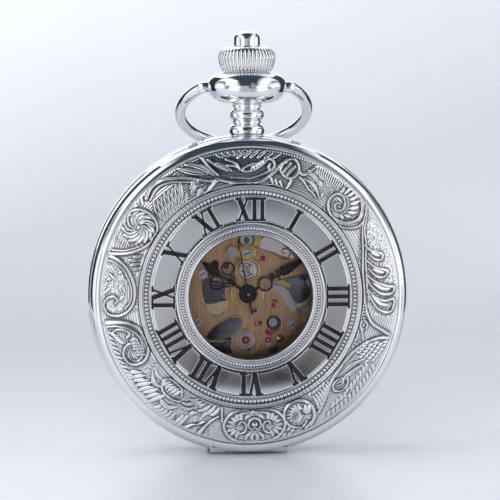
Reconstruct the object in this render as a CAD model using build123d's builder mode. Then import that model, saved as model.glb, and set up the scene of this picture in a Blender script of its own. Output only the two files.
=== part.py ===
from build123d import *
from math import atan2, cos, degrees, pi, radians, sin, sqrt
import os

# Pocket watch with a windowed front cover, all sizes in millimetres.
# Frame: origin at the centre of the back cover's flat face, +Z towards the crown,
# +X to the wearer's right when the dial is read, dial facing -Y.
# "depth" below is the distance in front of the back cover's flat face, so y = -depth.

# ---- driving dimensions ------------------------------------------------------
case_r = 23.5            # outside radius of the case band
cover_r = 23.3           # outside radius of both covers at the parting lines
band_back, band_front = 4.2, 9.6      # depths of the band's two faces
back_part, front_part = 4.1, 9.7      # depths of the covers' rims
stem_depth = 6.9         # depth of the winding stem's axis, mid band
window_r = 9.0           # clear radius of the window in the front cover
glass_r = 10.2           # window glass
mouth_r = 20.6           # inside radius of the band
crystal_r = 19.2         # inner crystals
hinge_z = -22.7          # height of both hinge axes
knuckle_r, knuckle_clear = 0.75, 0.87
pin_r, pin_running_r, pin_seat_r = 0.34, 0.38, 0.345
case_knuckle, cover_knuckle_in, cover_knuckle_out = 3.25, 3.35, 5.70

ball_z = 30.4            # height of the bow's pivot axis
bow_rest = 57.0          # degrees that the bow hangs back from straight down
bow_wire_r, bow_ring_r, bow_centre = 0.75, 9.45, 6.9
bow_end_x, bow_turn_x, bow_turn_r = 5.93, 6.05, 1.0
bow_pin_r, bow_hole_r = 0.5, 0.56

button_r, crown_bore_r = 1.95, 2.0
stem_r, stem_bore_r, rod_r = 0.9, 0.45, 0.40
thin_stem_r = 0.6

plate_r, plate_back, plate_front = 18.5, 6.9, 7.8
bridge_back, bridge_front = 3.7, 4.5
jewel_r, jewel_hole_r, jewel_seat_r = 0.45, 0.20, 0.46
pivot_r, staff_r = 0.15, 0.25

# movement layout, (x, z) of each axis seen from the dial side
centre = (0.0, 0.0)
intermediate = (2.3, 5.1)
barrel_at = (-0.16, 10.6)
third_at = (4.0, -1.3)
escape_at = (1.52, -4.545)
pallet_at = (3.1, -6.95)
balance_at = (-0.09, -7.05)
minute_at = (-0.16, 3.2)
setting_at = (-0.16, 8.0)
transfer_at = (-0.16, 11.62)
crown_wheel_at = (-2.3, 15.6)
click_at = (4.6, 12.6)
lever_at = (3.2, 17.3)


def turned(*points):
    """Points given as (radius, depth), as sketch points on the XY plane."""
    return [(r, -d) for r, d in points]


def gear(teeth, tip, root):
    """Corner points of a toothed outline round the origin."""
    step = 2 * pi / teeth
    points = []
    for i in range(teeth):
        a = i * step
        for share, r in ((-0.22, root), (-0.10, tip), (0.10, tip), (0.22, root)):
            points.append((r * cos(a + share * step), r * sin(a + share * step)))
    return points


def saw(teeth, tip, root, lean=0.35):
    """Corner points of a ratchet or escape wheel's outline."""
    step = 2 * pi / teeth
    points = []
    for i in range(teeth):
        a = i * step
        points.append((root * cos(a), root * sin(a)))
        points.append((tip * cos(a + lean * step), tip * sin(a + lean * step)))
    return points


def spiral(inner, outer, turns, thick, per_turn=18):
    """Closed outline of a flat spiral strip."""
    n = int(turns * per_turn)
    line = []
    for i in range(n + 1):
        r, a = inner + (outer - inner) * i / n, 2 * pi * i / per_turn
        line.append((r, a))
    out = [((r + thick / 2) * cos(a), (r + thick / 2) * sin(a)) for r, a in line]
    back = [((r - thick / 2) * cos(a), (r - thick / 2) * sin(a)) for r, a in reversed(line)]
    return out + back


def at_depth(depth):
    """Plane facing the dial side, at a depth; its local x, y are the watch's x, z."""
    return Plane.XZ.offset(depth)


def about(place):
    """Sketch plane through an axis parallel to Y; local x is the radius, local y is -depth."""
    return Plane(origin=(place[0], 0, place[1]), x_dir=(1, 0, 0), z_dir=(0, 0, 1))


def axle(place):
    return Axis((place[0], 0, place[1]), (0, 1, 0))


stem_plane = Plane.XZ.offset(stem_depth)
stem_axis = Axis((0, -stem_depth, 0), (0, 0, 1))
os.makedirs("parts", exist_ok=True)


def dome(r, top, low):
    """Middle and top points of an arc that crowns from (r, low) to (0, top)."""
    rise = top - low
    big = (r * r + rise * rise) / (2 * rise)
    half = atan2(r, big - rise) / 2
    return (big * sin(half), top - big * (1 - cos(half))), (0, top)


# ---- case band ---------------------------------------------------------------
with BuildPart() as case_middle:
    with BuildSketch(Plane.XY):
        with BuildLine():
            Polyline(
                *turned(
                    (mouth_r, band_back), (22.95, band_back), (23.35, 4.45), (case_r, 5.0),
                    (case_r, 8.8), (23.35, 9.35), (22.95, band_front), (mouth_r, band_front),
                ),
                close=True,
            )
        make_face()
    revolve(axis=Axis.Y)
    # flat seat and hole for the pendant at twelve o'clock
    with BuildSketch(Plane.XY.offset(23.1)):
        with Locations((0, -stem_depth)):
            Circle(2.68)
    extrude(amount=3, mode=Mode.SUBTRACT)
    with BuildSketch(Plane.XY.offset(18)):
        with Locations((0, -stem_depth)):
            Circle(1.9)
    extrude(amount=8, mode=Mode.SUBTRACT)
    # slot for the catch's hook, open towards the front cover
    with BuildSketch(at_depth(8.9)):
        with Locations((0, 21.3)):
            Rectangle(3.0, 2.0)
    extrude(amount=2, mode=Mode.SUBTRACT)
    # middle knuckles of the two hinges and the notches beside them
    with BuildSketch(Plane.YZ.offset(-case_knuckle)):
        with Locations((-front_part, hinge_z), (-back_part, hinge_z)):
            Circle(knuckle_r)
    extrude(amount=2 * case_knuckle)
    for x0 in (-cover_knuckle_out - 0.12, case_knuckle + 0.001):
        with BuildSketch(Plane.YZ.offset(x0)):
            with Locations((-front_part, hinge_z), (-back_part, hinge_z)):
                Circle(knuckle_clear)
        extrude(amount=cover_knuckle_out + 0.12 - case_knuckle - 0.001, mode=Mode.SUBTRACT)
    with BuildSketch(Plane.YZ.offset(-4)):
        with Locations((-front_part, hinge_z), (-back_part, hinge_z)):
            Circle(pin_seat_r)
    extrude(amount=8, mode=Mode.SUBTRACT)
case_middle.part.label = "case_middle"
export_step(case_middle.part, "parts/case_middle.step")


# the two hinge pins, one for each cover
with BuildPart() as hinge_pins:
    with BuildSketch(Plane.YZ.offset(-5.6)):
        with Locations((-front_part, hinge_z), (-back_part, hinge_z)):
            Circle(pin_r)
    extrude(amount=11.2)
hinge_pins.part.label = "hinge_pins"
export_step(hinge_pins.part, "parts/hinge_pins.step")

# ---- pendant: neck with two swellings and the dished ball ---------------------
with BuildPart() as pendant:
    with BuildSketch(stem_plane):
        with BuildLine():
            Polyline((1.0, 20.9), (1.88, 20.9), (1.88, 23.1), (2.25, 23.1))
            ThreePointArc((2.25, 23.1), (2.62, 24.0), (2.12, 24.9))
            Line((2.12, 24.9), (2.12, 25.55))
            ThreePointArc((2.12, 25.55), (2.57, 26.33), (2.08, 27.1))
            Polyline((2.08, 27.1), (2.08, 28.0), (2.7, 28.0))
            Spline(
                (2.7, 28.0), (4.55, 28.5), (5.6, 29.5), (5.85, 30.5), (5.55, 31.6), (4.7, 32.35),
                (4.0, 32.5), (3.4, 32.2), (3.0, 31.3),
                tangents=((1, 0.08), (-0.25, -1)),
            )
            Polyline((3.0, 31.3), (1.0, 31.3), (1.0, 20.9))
        make_face()
    revolve(axis=stem_axis)
    # blind holes for the bow's ends
    for side in (1, -1):
        with BuildSketch(Plane.YZ.offset(4.6 * side)):
            with Locations((-stem_depth, ball_z)):
                Circle(bow_hole_r)
        extrude(amount=2.0 * side, mode=Mode.SUBTRACT)
pendant.part.label = "pendant"
export_step(pendant.part, "parts/pendant.step")

# ---- bow: round wire ring, open at the pendant, with inward pivots -----------
tilt = radians(bow_rest)
bow_plane = Plane(
    origin=(0, -stem_depth, ball_z), x_dir=(1, 0, 0), z_dir=(0, cos(tilt), sin(tilt))
)
reach = sqrt(bow_turn_x**2 + (bow_centre - bow_turn_r) ** 2)
join_x = bow_turn_x / reach * bow_ring_r
join_s = bow_centre + (bow_turn_r - bow_centre) / reach * bow_ring_r
half_turn = atan2(join_x - bow_turn_x, bow_turn_r - join_s) / 2
mid_x = bow_turn_x + bow_turn_r * sin(half_turn)
mid_s = bow_turn_r - bow_turn_r * cos(half_turn)
with BuildPart() as bow:
    with BuildLine(bow_plane) as bow_path:
        Line((bow_end_x, 0), (bow_turn_x, 0))
        ThreePointArc((bow_turn_x, 0), (mid_x, mid_s), (join_x, join_s))
        ThreePointArc((join_x, join_s), (0, bow_centre + bow_ring_r), (-join_x, join_s))
        ThreePointArc((-join_x, join_s), (-mid_x, mid_s), (-bow_turn_x, 0))
        Line((-bow_turn_x, 0), (-bow_end_x, 0))
    with BuildSketch(Plane.YZ.offset(bow_end_x)):
        with Locations((-stem_depth, ball_z)):
            Circle(bow_wire_r)
    sweep(path=bow_path.line)
    for side in (1, -1):
        with BuildSketch(Plane.YZ.offset(4.75 * side)):
            with Locations((-stem_depth, ball_z)):
                Circle(bow_pin_r)
        extrude(amount=1.3 * side)
bow.part.label = "bow"
export_step(bow.part, "parts/bow.step")

# ---- crown, stem, button -----------------------------------------------------
with BuildPart() as crown:
    with BuildSketch(stem_plane):
        with BuildLine():
            Polyline((stem_r, 31.6), (2.6, 31.6))
            Spline(
                (2.6, 31.6), (3.25, 32.3), (3.95, 33.5), (4.2, 34.55), (4.0, 35.4), (3.2, 36.3),
                tangents=((0.6, 1), (-1, 0.8)),
            )
            Polyline(
                (3.2, 36.3), (crown_bore_r, 36.3), (crown_bore_r, 33.0), (stem_r, 33.0),
                (stem_r, 31.6),
            )
        make_face()
    revolve(axis=stem_axis)
    # fluting: shallow grooves round the widest part
    flute_count = 36
    with BuildSketch(Plane.XY.offset(32.2)):
        with Locations((0, -stem_depth)):
            with PolarLocations(4.28, flute_count):
                Circle(0.17)
    extrude(amount=3.6, mode=Mode.SUBTRACT)
crown.part.label = "crown"
export_step(crown.part, "parts/crown.step")

with BuildPart() as winding_stem:
    # tube inside the pendant, solid below the button rod's slot
    with BuildSketch(stem_plane):
        with BuildLine():
            Polyline(
                (0, 13.3), (thin_stem_r, 13.3), (thin_stem_r, 16.6), (0.45, 16.6), (0.45, 17.2),
                (thin_stem_r, 17.2), (thin_stem_r, 20.75), (stem_r, 20.75),
                (stem_r, 24.6), (0.72, 24.6), (0.72, 25.0), (stem_r, 25.0), (stem_r, 32.98),
                (stem_bore_r, 32.98), (stem_bore_r, 18.9), (0, 18.9), close=True,
            )
        make_face()
    revolve(axis=stem_axis)
    # cross slot through which the button's pin reaches the catch
    with BuildSketch(Plane.YZ.offset(-1.5)):
        with Locations((-stem_depth, 19.9)):
            Rectangle(0.5, 1.7)
    extrude(amount=3.0, mode=Mode.SUBTRACT)
winding_stem.part.label = "winding_stem"
export_step(winding_stem.part, "parts/winding_stem.step")

with BuildPart() as stem_ring:
    # split-free sealing ring in the stem's groove, riding in the pendant's bore
    with BuildSketch(stem_plane):
        with BuildLine():
            Polyline((0.76, 24.64), (0.96, 24.64), (0.96, 24.96), (0.76, 24.96), close=True)
        make_face()
    revolve(axis=stem_axis)
stem_ring.part.label = "stem_ring"
export_step(stem_ring.part, "parts/stem_ring.step")

with BuildPart() as push_button:
    with BuildSketch(stem_plane):
        with BuildLine():
            Line((0, 20.2), (rod_r, 20.2))
            Line((rod_r, 20.2), (rod_r, 35.2))
            Line((rod_r, 35.2), (button_r, 35.2))
            Line((button_r, 35.2), (button_r, 37.75))
            ThreePointArc((button_r, 37.75), *dome(button_r, 38.65, 37.75))
            Line((0, 38.65), (0, 20.2))
        make_face()
    revolve(axis=stem_axis)
    with BuildSketch(Plane.YZ.offset(-0.96)):
        with Locations((-stem_depth, 20.4)):
            Circle(0.2)
    extrude(amount=1.92)
push_button.part.label = "push_button"
export_step(push_button.part, "parts/push_button.step")

with BuildPart() as button_spring:
    with BuildLine(Plane(origin=(0, -stem_depth, 33.2))) as coil:
        Helix(pitch=0.45, height=1.8, radius=1.45)
    with BuildSketch(Plane(origin=coil.line @ 0, z_dir=coil.line % 0)):
        Circle(0.11)
    sweep(path=coil.line, is_frenet=True)
button_spring.part.label = "button_spring"
export_step(button_spring.part, "parts/button_spring.step")

# ---- front cover, its window glass and retaining ring -------------------------
with BuildPart() as front_cover:
    with BuildSketch(Plane.XY):
        with BuildLine():
            Polyline(
                *turned(
                    (22.4, 9.7), (23.15, 9.7), (23.3, 9.95), (23.3, 10.6), (23.1, 11.3),
                    (22.7, 11.9), (22.2, 12.25), (21.85, 12.35), (21.65, 12.25), (21.5, 12.4),
                    (20.3, 12.95), (18.6, 13.5), (16.7, 13.85), (16.45, 13.7), (16.3, 13.9),
                    (14.75, 14.05), (14.6, 13.9), (14.45, 14.0), (11.25, 14.0), (11.1, 13.85),
                    (10.85, 14.05), (10.7, 14.35), (10.1, 14.5), (9.5, 14.4), (9.1, 14.1),
                    (9.0, 13.8), (9.0, 13.55), (10.25, 13.55), (10.25, 12.3), (11.1, 12.3),
                    (11.1, 13.2), (16.6, 13.1), (18.4, 12.8), (20.0, 12.3), (21.3, 11.7),
                    (22.1, 11.2), (22.4, 10.6),
                ),
                close=True,
            )
        make_face()
    revolve(axis=Axis.Y)
    # lip behind which the catch holds, at twelve o'clock
    with BuildSketch(at_depth(9.8)):
        with Locations((0, 22.35)):
            Rectangle(2.2, 0.7)
    extrude(amount=0.3)
    # clearance at the hinge
    with BuildSketch(at_depth(9.5)):
        with Locations((0, -23.2)):
            Rectangle(2 * cover_knuckle_out + 0.4, 2.0)
    extrude(amount=2.05, mode=Mode.SUBTRACT)
    with BuildSketch(Plane.YZ.offset(-cover_knuckle_in)):
        with Locations((-front_part, hinge_z)):
            Circle(knuckle_clear)
    extrude(amount=2 * cover_knuckle_in, mode=Mode.SUBTRACT)
    for x0 in (-cover_knuckle_out, cover_knuckle_in):
        with BuildSketch(Plane.YZ.offset(x0)):
            with Locations((-front_part, hinge_z)):
                Circle(knuckle_r)
            with BuildLine():
                Polyline(
                    (-front_part, hinge_z), (-front_part, -21.95), (-11.75, -21.95),
                    (-11.75, -22.5), (-10.2, -23.0), close=True,
                )
            make_face()
        extrude(amount=cover_knuckle_out - cover_knuckle_in)
    with BuildSketch(Plane.YZ.offset(-8)):
        with Locations((-front_part, hinge_z)):
            Circle(pin_running_r)
    extrude(amount=16, mode=Mode.SUBTRACT)
front_cover.part.label = "front_cover"
export_step(front_cover.part, "parts/front_cover.step")

with BuildPart() as window_glass:
    with BuildSketch(Plane.XY):
        with BuildLine():
            Line((0, -12.75), (glass_r, -12.75))
            Line((glass_r, -12.75), (glass_r, -13.5))
            Line((glass_r, -13.5), (8.9, -13.5))
            ThreePointArc(
                (8.9, -13.5), *[(x, -y) for x, y in dome(8.9, 13.8, 13.5)]
            )
            Line((0, -13.8), (0, -12.75))
        make_face()
    revolve(axis=Axis.Y)
window_glass.part.label = "window_glass"
export_step(window_glass.part, "parts/window_glass.step")

with BuildPart() as window_retaining_ring:
    with BuildSketch(at_depth(12.35)):
        Circle(10.23)
        Circle(9.3, mode=Mode.SUBTRACT)
        with Locations((0, -9.75)):
            Rectangle(0.7, 1.4, mode=Mode.SUBTRACT)
    extrude(amount=0.37)
window_retaining_ring.part.label = "window_retaining_ring"
export_step(window_retaining_ring.part, "parts/window_retaining_ring.step")

# ---- back cover --------------------------------------------------------------
with BuildPart() as back_cover:
    with BuildSketch(Plane.XY):
        with BuildLine():
            Polyline(
                *turned(
                    (0, 0), (15.5, 0), (15.7, 0.1), (15.9, 0.0), (16.2, 0.02), (18.5, 0.35),
                    (20.3, 0.85), (21.5, 1.4), (21.7, 1.6), (21.9, 1.55), (22.6, 2.1),
                    (23.1, 2.8), (23.3, 3.5), (23.3, 3.9), (23.15, back_part), (22.4, back_part),
                    (22.4, 3.3), (21.8, 2.5), (20.4, 1.65), (18.3, 1.0), (15.3, 0.65), (0, 0.65),
                ),
                close=True,
            )
        make_face()
    revolve(axis=Axis.Y)
    with BuildSketch(at_depth(2.3)):
        with Locations((0, -23.2)):
            Rectangle(2 * cover_knuckle_out + 0.4, 2.0)
    extrude(amount=2.0, mode=Mode.SUBTRACT)
    with BuildSketch(Plane.YZ.offset(-cover_knuckle_in)):
        with Locations((-back_part, hinge_z)):
            Circle(knuckle_clear)
    extrude(amount=2 * cover_knuckle_in, mode=Mode.SUBTRACT)
    for x0 in (-cover_knuckle_out, cover_knuckle_in):
        with BuildSketch(Plane.YZ.offset(x0)):
            with Locations((-back_part, hinge_z)):
                Circle(knuckle_r)
            with BuildLine():
                Polyline(
                    (-back_part, hinge_z), (-back_part, -21.95), (-2.2, -21.95),
                    (-2.1, -22.4), (-3.6, -23.0), close=True,
                )
            make_face()
        extrude(amount=cover_knuckle_out - cover_knuckle_in)
    with BuildSketch(Plane.YZ.offset(-8)):
        with Locations((-back_part, hinge_z)):
            Circle(pin_running_r)
    extrude(amount=16, mode=Mode.SUBTRACT)
back_cover.part.label = "back_cover"
export_step(back_cover.part, "parts/back_cover.step")

# ---- inner bezels and crystals -----------------------------------------------
with BuildPart() as inner_bezel:
    with BuildSketch(Plane.XY):
        with BuildLine():
            Polyline(
                *turned(
                    (18.5, 10.2), (18.5, 10.55), (19.25, 10.55), (19.25, 11.3), (19.7, 11.35),
                    (20.3, 11.0), (20.95, 10.1), (20.95, 9.75), (20.55, 9.7), (20.55, 9.05),
                    (19.4, 9.05), (19.4, 9.9),
                ),
                close=True,
            )
        make_face()
    revolve(axis=Axis.Y)
    # room for the catch's hook to swing clear
    with BuildSketch(at_depth(9.0)):
        with Locations((0, 20.2)):
            Rectangle(3.7, 2.6)
    extrude(amount=0.9, mode=Mode.SUBTRACT)
    with BuildSketch(at_depth(9.0)):
        with Locations((0, 21.1)):
            Rectangle(3.7, 1.3)
    extrude(amount=1.7, mode=Mode.SUBTRACT)
inner_bezel.part.label = "inner_bezel"
export_step(inner_bezel.part, "parts/inner_bezel.step")

with BuildPart() as dial_crystal:
    with BuildSketch(at_depth(10.6)):
        Circle(crystal_r)
    extrude(amount=0.75)
    chamfer(dial_crystal.edges().group_by(Axis.Y)[0], 0.25)
dial_crystal.part.label = "dial_crystal"
export_step(dial_crystal.part, "parts/dial_crystal.step")

with BuildPart() as rear_bezel:
    with BuildSketch(Plane.XY):
        with BuildLine():
            Polyline(
                *turned(
                    (18.5, 3.0), (18.5, 3.35), (19.4, 3.35), (19.4, 4.55), (20.55, 4.55),
                    (20.55, 4.15), (20.95, 4.1), (20.95, 3.6), (20.3, 2.35), (19.7, 2.15),
                    (19.25, 2.25), (19.25, 3.0),
                ),
                close=True,
            )
        make_face()
    revolve(axis=Axis.Y)
rear_bezel.part.label = "rear_bezel"
export_step(rear_bezel.part, "parts/rear_bezel.step")

with BuildPart() as rear_crystal:
    with BuildSketch(at_depth(2.3)):
        Circle(crystal_r)
    extrude(amount=0.65)
rear_crystal.part.label = "rear_crystal"
export_step(rear_crystal.part, "parts/rear_crystal.step")

# ---- movement holder, catch and springs ---------------------------------------
catch_pivot = (19.65 * cos(radians(55)), 19.65 * sin(radians(55)))
with BuildPart() as movement_ring:
    with BuildSketch(at_depth(4.6)):
        Circle(20.5)
        Circle(18.6, mode=Mode.SUBTRACT)
        with Locations((0, 19.5)):
            Rectangle(4.6, 3.0, mode=Mode.SUBTRACT)
        with PolarLocations(19.45, 2, start_angle=-30, angular_range=360):
            Circle(0.31, mode=Mode.SUBTRACT)
        with Locations(catch_pivot):
            Circle(0.28, mode=Mode.SUBTRACT)
    extrude(amount=3.6)
movement_ring.part.label = "movement_ring"
export_step(movement_ring.part, "parts/movement_ring.step")

with BuildPart() as front_catch:
    with BuildSketch(at_depth(8.25)):
        with BuildLine():
            a0, a1, am = radians(53), radians(87), radians(70)
            ThreePointArc(
                (20.25 * cos(a0), 20.25 * sin(a0)), (20.25 * cos(am), 20.25 * sin(am)),
                (20.25 * cos(a1), 20.25 * sin(a1)),
            )
            Line((20.25 * cos(a1), 20.25 * sin(a1)), (19.1 * cos(a1), 19.1 * sin(a1)))
            ThreePointArc(
                (19.1 * cos(a1), 19.1 * sin(a1)), (19.1 * cos(am), 19.1 * sin(am)),
                (19.1 * cos(a0), 19.1 * sin(a0)),
            )
            Line((19.1 * cos(a0), 19.1 * sin(a0)), (20.25 * cos(a0), 20.25 * sin(a0)))
        make_face()
        with Locations((0, 19.65)):
            Rectangle(2.8, 1.1)
        with Locations(catch_pivot):
            Circle(0.31, mode=Mode.SUBTRACT)
    extrude(amount=0.7)
    # hook that reaches through the band to the cover's lip
    with BuildSketch(at_depth(8.94)):
        with Locations((0, 20.8)):
            Rectangle(2.2, 1.9)
    extrude(amount=0.5)
    with BuildSketch(at_depth(9.43)):
        with Locations((0, 21.65)):
            Rectangle(2.2, 0.4)
    extrude(amount=0.9)
    # ring round the stem, under the button's cross pin
    with BuildSketch(Plane.XY.offset(19.75)):
        with Locations((0, -stem_depth)):
            Circle(1.7)
            Circle(0.85, mode=Mode.SUBTRACT)
    extrude(amount=0.3)
front_catch.part.label = "front_catch"
export_step(front_catch.part, "parts/front_catch.step")

with BuildPart() as lid_lift_spring:
    with BuildSketch(at_depth(8.25)):
        with BuildLine():
            a0, a1, am = radians(-140), radians(-97), radians(-118)
            ThreePointArc(
                (20.25 * cos(a0), 20.25 * sin(a0)), (20.25 * cos(am), 20.25 * sin(am)),
                (20.25 * cos(a1), 20.25 * sin(a1)),
            )
            Line((20.25 * cos(a1), 20.25 * sin(a1)), (19.4 * cos(a1), 19.4 * sin(a1)))
            ThreePointArc(
                (19.4 * cos(a1), 19.4 * sin(a1)), (19.4 * cos(am), 19.4 * sin(am)),
                (19.4 * cos(a0), 19.4 * sin(a0)),
            )
            Line((19.4 * cos(a0), 19.4 * sin(a0)), (20.25 * cos(a0), 20.25 * sin(a0)))
        make_face()
    extrude(amount=0.6)
lid_lift_spring.part.label = "lid_lift_spring"
export_step(lid_lift_spring.part, "parts/lid_lift_spring.step")

with BuildPart() as dial_ring:
    with BuildSketch(at_depth(8.45)):
        Circle(18.2)
        Circle(10.4, mode=Mode.SUBTRACT)
    extrude(amount=0.25)
    with BuildSketch(at_depth(plate_front)):
        with PolarLocations(17.0, 3, start_angle=30):
            Circle(0.5)
    extrude(amount=0.65)
dial_ring.part.label = "dial_ring"
export_step(dial_ring.part, "parts/dial_ring.step")

# ---- main plate ----------------------------------------------------------------
jewelled = (intermediate, third_at, escape_at, pallet_at)
plate_screws = ((-2.3, 6.2), (-6.6, 2.9), (6.7, -4.7), (3.8, -8.3), (-7.3, -4.2))
small_holes = plate_screws + ((2.3, 9.9), (-2.7, 9.9))
with BuildPart() as main_plate:
    with BuildSketch(at_depth(plate_back)):
        Circle(plate_r)
        # slot for the stem, winding pinion and clutch
        with Locations((0, 15.85)):
            Rectangle(2.7, 7.3, mode=Mode.SUBTRACT)
        # pockets that show the wheels
        with BuildLine():
            Polyline(
                (-6.4, 1.3), (-3.5, 0.96), (-3.0, -1.6), (-3.5, -2.7), (-5.3, -3.2),
                (-6.4, -0.6), close=True,
            )
        make_face(mode=Mode.SUBTRACT)
        with BuildLine():
            Polyline(
                (-1.6, -3.5), (-0.9, -4.2), (-1.9, -5.4), (-2.4, -6.9), (-5.6, -6.9),
                (-6.25, -6.4), (-5.1, -5.3), close=True,
            )
        make_face(mode=Mode.SUBTRACT)
        with BuildLine():
            Polyline((3.9, 3.6), (7.7, 5.0), (8.0, 4.3), (4.2, 2.9), close=True)
        make_face(mode=Mode.SUBTRACT)
        with Locations((3.9, -4.6)):
            Circle(1.15, mode=Mode.SUBTRACT)
        with Locations(centre):
            Circle(0.5, mode=Mode.SUBTRACT)
        with Locations(*jewelled):
            Circle(jewel_seat_r, mode=Mode.SUBTRACT)
        with Locations(balance_at):
            Circle(0.86, mode=Mode.SUBTRACT)
        with Locations(barrel_at):
            Circle(0.56, mode=Mode.SUBTRACT)
        with Locations(*small_holes):
            Circle(0.31, mode=Mode.SUBTRACT)
    extrude(amount=plate_front - plate_back)
    # posts for the wheels on the dial side
    with BuildSketch(at_depth(plate_front)):
        with Locations(minute_at, setting_at, transfer_at):
            Circle(0.3)
    extrude(amount=0.3)
    # posts for the click, setting lever and yoke on the rear side
    with BuildSketch(at_depth(5.55)):
        with Locations(click_at):
            Circle(0.3)
    extrude(amount=plate_back - 5.55)
    with BuildSketch(at_depth(5.95)):
        with Locations(lever_at):
            Circle(0.3)
    extrude(amount=plate_back - 5.95)
main_plate.part.label = "main_plate"
export_step(main_plate.part, "parts/main_plate.step")

# ---- rear bridges ----------------------------------------------------------------
def bridge(low, high, seats, feet, windows=(), stud=None):
    """Rear bridge between two heights, with holes for its pivots and round feet to the plate."""
    with BuildPart() as part:
        with BuildSketch(at_depth(bridge_back)):
            Circle(18.3)
            with Locations((0, (low + high) / 2)):
                Rectangle(40, high - low, mode=Mode.INTERSECT)
            for place, r in seats:
                with Locations(place):
                    Circle(r, mode=Mode.SUBTRACT)
            for place, r in windows:
                with Locations(place):
                    Circle(r, mode=Mode.SUBTRACT)
        extrude(amount=bridge_front - bridge_back)
        with BuildSketch(at_depth(bridge_front)):
            with Locations(*feet):
                Circle(1.5)
        extrude(amount=plate_back - bridge_front)
        with BuildSketch(at_depth(bridge_back)):
            with Locations(*feet):
                Circle(0.61)
        extrude(amount=plate_back - bridge_back, mode=Mode.SUBTRACT)
        if stud:
            with BuildSketch(at_depth(bridge_front)):
                with Locations(stud):
                    Circle(0.6)
            extrude(amount=1.35)
    return part


barrel_feet = ((-14.0, 8.6), (14.0, 8.6), (6.2, 15.2))
train_feet = ((-15.2, 1.5), (15.2, 1.5), (-13.5, -3.6))
cock_feet = ((13.0, -9.2), (-12.2, -10.2))
barrel_bridge = bridge(5.85, 19, ((barrel_at, 0.56),), barrel_feet, stud=crown_wheel_at)
barrel_bridge.part.label = "barrel_bridge"
export_step(barrel_bridge.part, "parts/barrel_bridge.step")
train_bridge = bridge(
    -5.6, 5.75,
    ((intermediate, jewel_seat_r), (third_at, jewel_seat_r), (escape_at, jewel_seat_r), (centre, jewel_seat_r)),
    train_feet, (((-9.0, 0.6), 3.2), ((9.6, 0.8), 2.8)),
)
train_bridge.part.label = "train_bridge"
export_step(train_bridge.part, "parts/train_bridge.step")
balance_cock = bridge(-19, -5.75, ((balance_at, jewel_seat_r),), cock_feet, (((-0.09, -14.2), 2.6),))
balance_cock.part.label = "balance_cock"
export_step(balance_cock.part, "parts/balance_cock.step")

with BuildPart() as pallet_bridge:
    with BuildSketch(at_depth(5.3)):
        with Locations(pallet_at):
            Circle(0.8)
        with Locations((8.4, -9.4)):
            Circle(1.2)
        with BuildLine():
            Polyline((3.4, -6.2), (8.9, -8.3), (7.6, -10.3), (2.9, -7.7), close=True)
        make_face()
        with Locations(pallet_at):
            Circle(0.2, mode=Mode.SUBTRACT)
    extrude(amount=0.17)
    with BuildSketch(at_depth(5.3)):
        with Locations((8.4, -9.4)):
            Circle(1.2)
    extrude(amount=plate_back - 5.3)
pallet_bridge.part.label = "pallet_bridge"
export_step(pallet_bridge.part, "parts/pallet_bridge.step")

with BuildPart() as minute_bridge:
    # figure-of-eight bridge over the minute wheel, with an arm to its screw
    with BuildSketch(at_depth(8.45)):
        with Locations((-0.16, 5.94)):
            Circle(1.15)
        with Locations(minute_at):
            Circle(1.5)
        with Locations((-0.16, 4.7)):
            Rectangle(1.5, 1.6)
        with Locations((-1.3, 6.08)):
            Rectangle(2.2, 1.2)
        with Locations((-2.3, 6.2)):
            Circle(0.9)
        with Locations((-0.16, 5.94), (-2.3, 6.2)):
            Circle(0.31, mode=Mode.SUBTRACT)
    extrude(amount=0.25)
    with BuildSketch(at_depth(plate_front)):
        with Locations((-2.3, 6.2)):
            Circle(0.42)
            Circle(0.31, mode=Mode.SUBTRACT)
    extrude(amount=0.65)
minute_bridge.part.label = "minute_bridge"
export_step(minute_bridge.part, "parts/minute_bridge.step")

with BuildPart() as setting_bridge:
    with BuildSketch(at_depth(8.12)):
        with Locations((-0.16, 9.95)):
            SlotCenterToCenter(3.9, 3.2, rotation=90)
        with Locations((-0.2, 9.9)):
            SlotCenterToCenter(5.0, 1.5)
        with Locations(setting_at):
            Circle(1.1, mode=Mode.SUBTRACT)
        with Locations((2.3, 9.9), (-2.7, 9.9)):
            Circle(0.31, mode=Mode.SUBTRACT)
    extrude(amount=0.25)
    with BuildSketch(at_depth(plate_front)):
        with Locations((2.5, 9.9), (-2.9, 9.9)):
            Circle(0.5)
        with Locations((2.3, 9.9), (-2.7, 9.9)):
            Circle(0.31, mode=Mode.SUBTRACT)
    extrude(amount=0.32)
setting_bridge.part.label = "setting_bridge"
export_step(setting_bridge.part, "parts/setting_bridge.step")

# ---- jewels, screws ---------------------------------------------------------------
with BuildPart() as jewels:
    with BuildSketch(at_depth(7.2)):
        with Locations(*jewelled):
            Circle(jewel_r)
            Circle(jewel_hole_r, mode=Mode.SUBTRACT)
    extrude(amount=0.6)
    with BuildSketch(at_depth(bridge_back)):
        with Locations(intermediate, third_at, escape_at, centre, balance_at):
            Circle(jewel_r)
            Circle(jewel_hole_r, mode=Mode.SUBTRACT)
    extrude(amount=0.6)
    with BuildSketch(at_depth(7.25)):
        with Locations(balance_at):
            Circle(0.44)
            Circle(jewel_hole_r, mode=Mode.SUBTRACT)
    extrude(amount=0.7)
jewels.part.label = "jewels"
export_step(jewels.part, "parts/jewels.step")

with BuildPart() as balance_setting:
    # silver setting round the balance's dial-side jewel
    with BuildSketch(at_depth(7.25)):
        with Locations(balance_at):
            Circle(0.85)
            Circle(0.45, mode=Mode.SUBTRACT)
    extrude(amount=0.6)
    with BuildSketch(at_depth(7.81)):
        with Locations(balance_at):
            Circle(1.2)
            Circle(0.45, mode=Mode.SUBTRACT)
    extrude(amount=0.14)
balance_setting.part.label = "balance_setting"
export_step(balance_setting.part, "parts/balance_setting.step")

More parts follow.
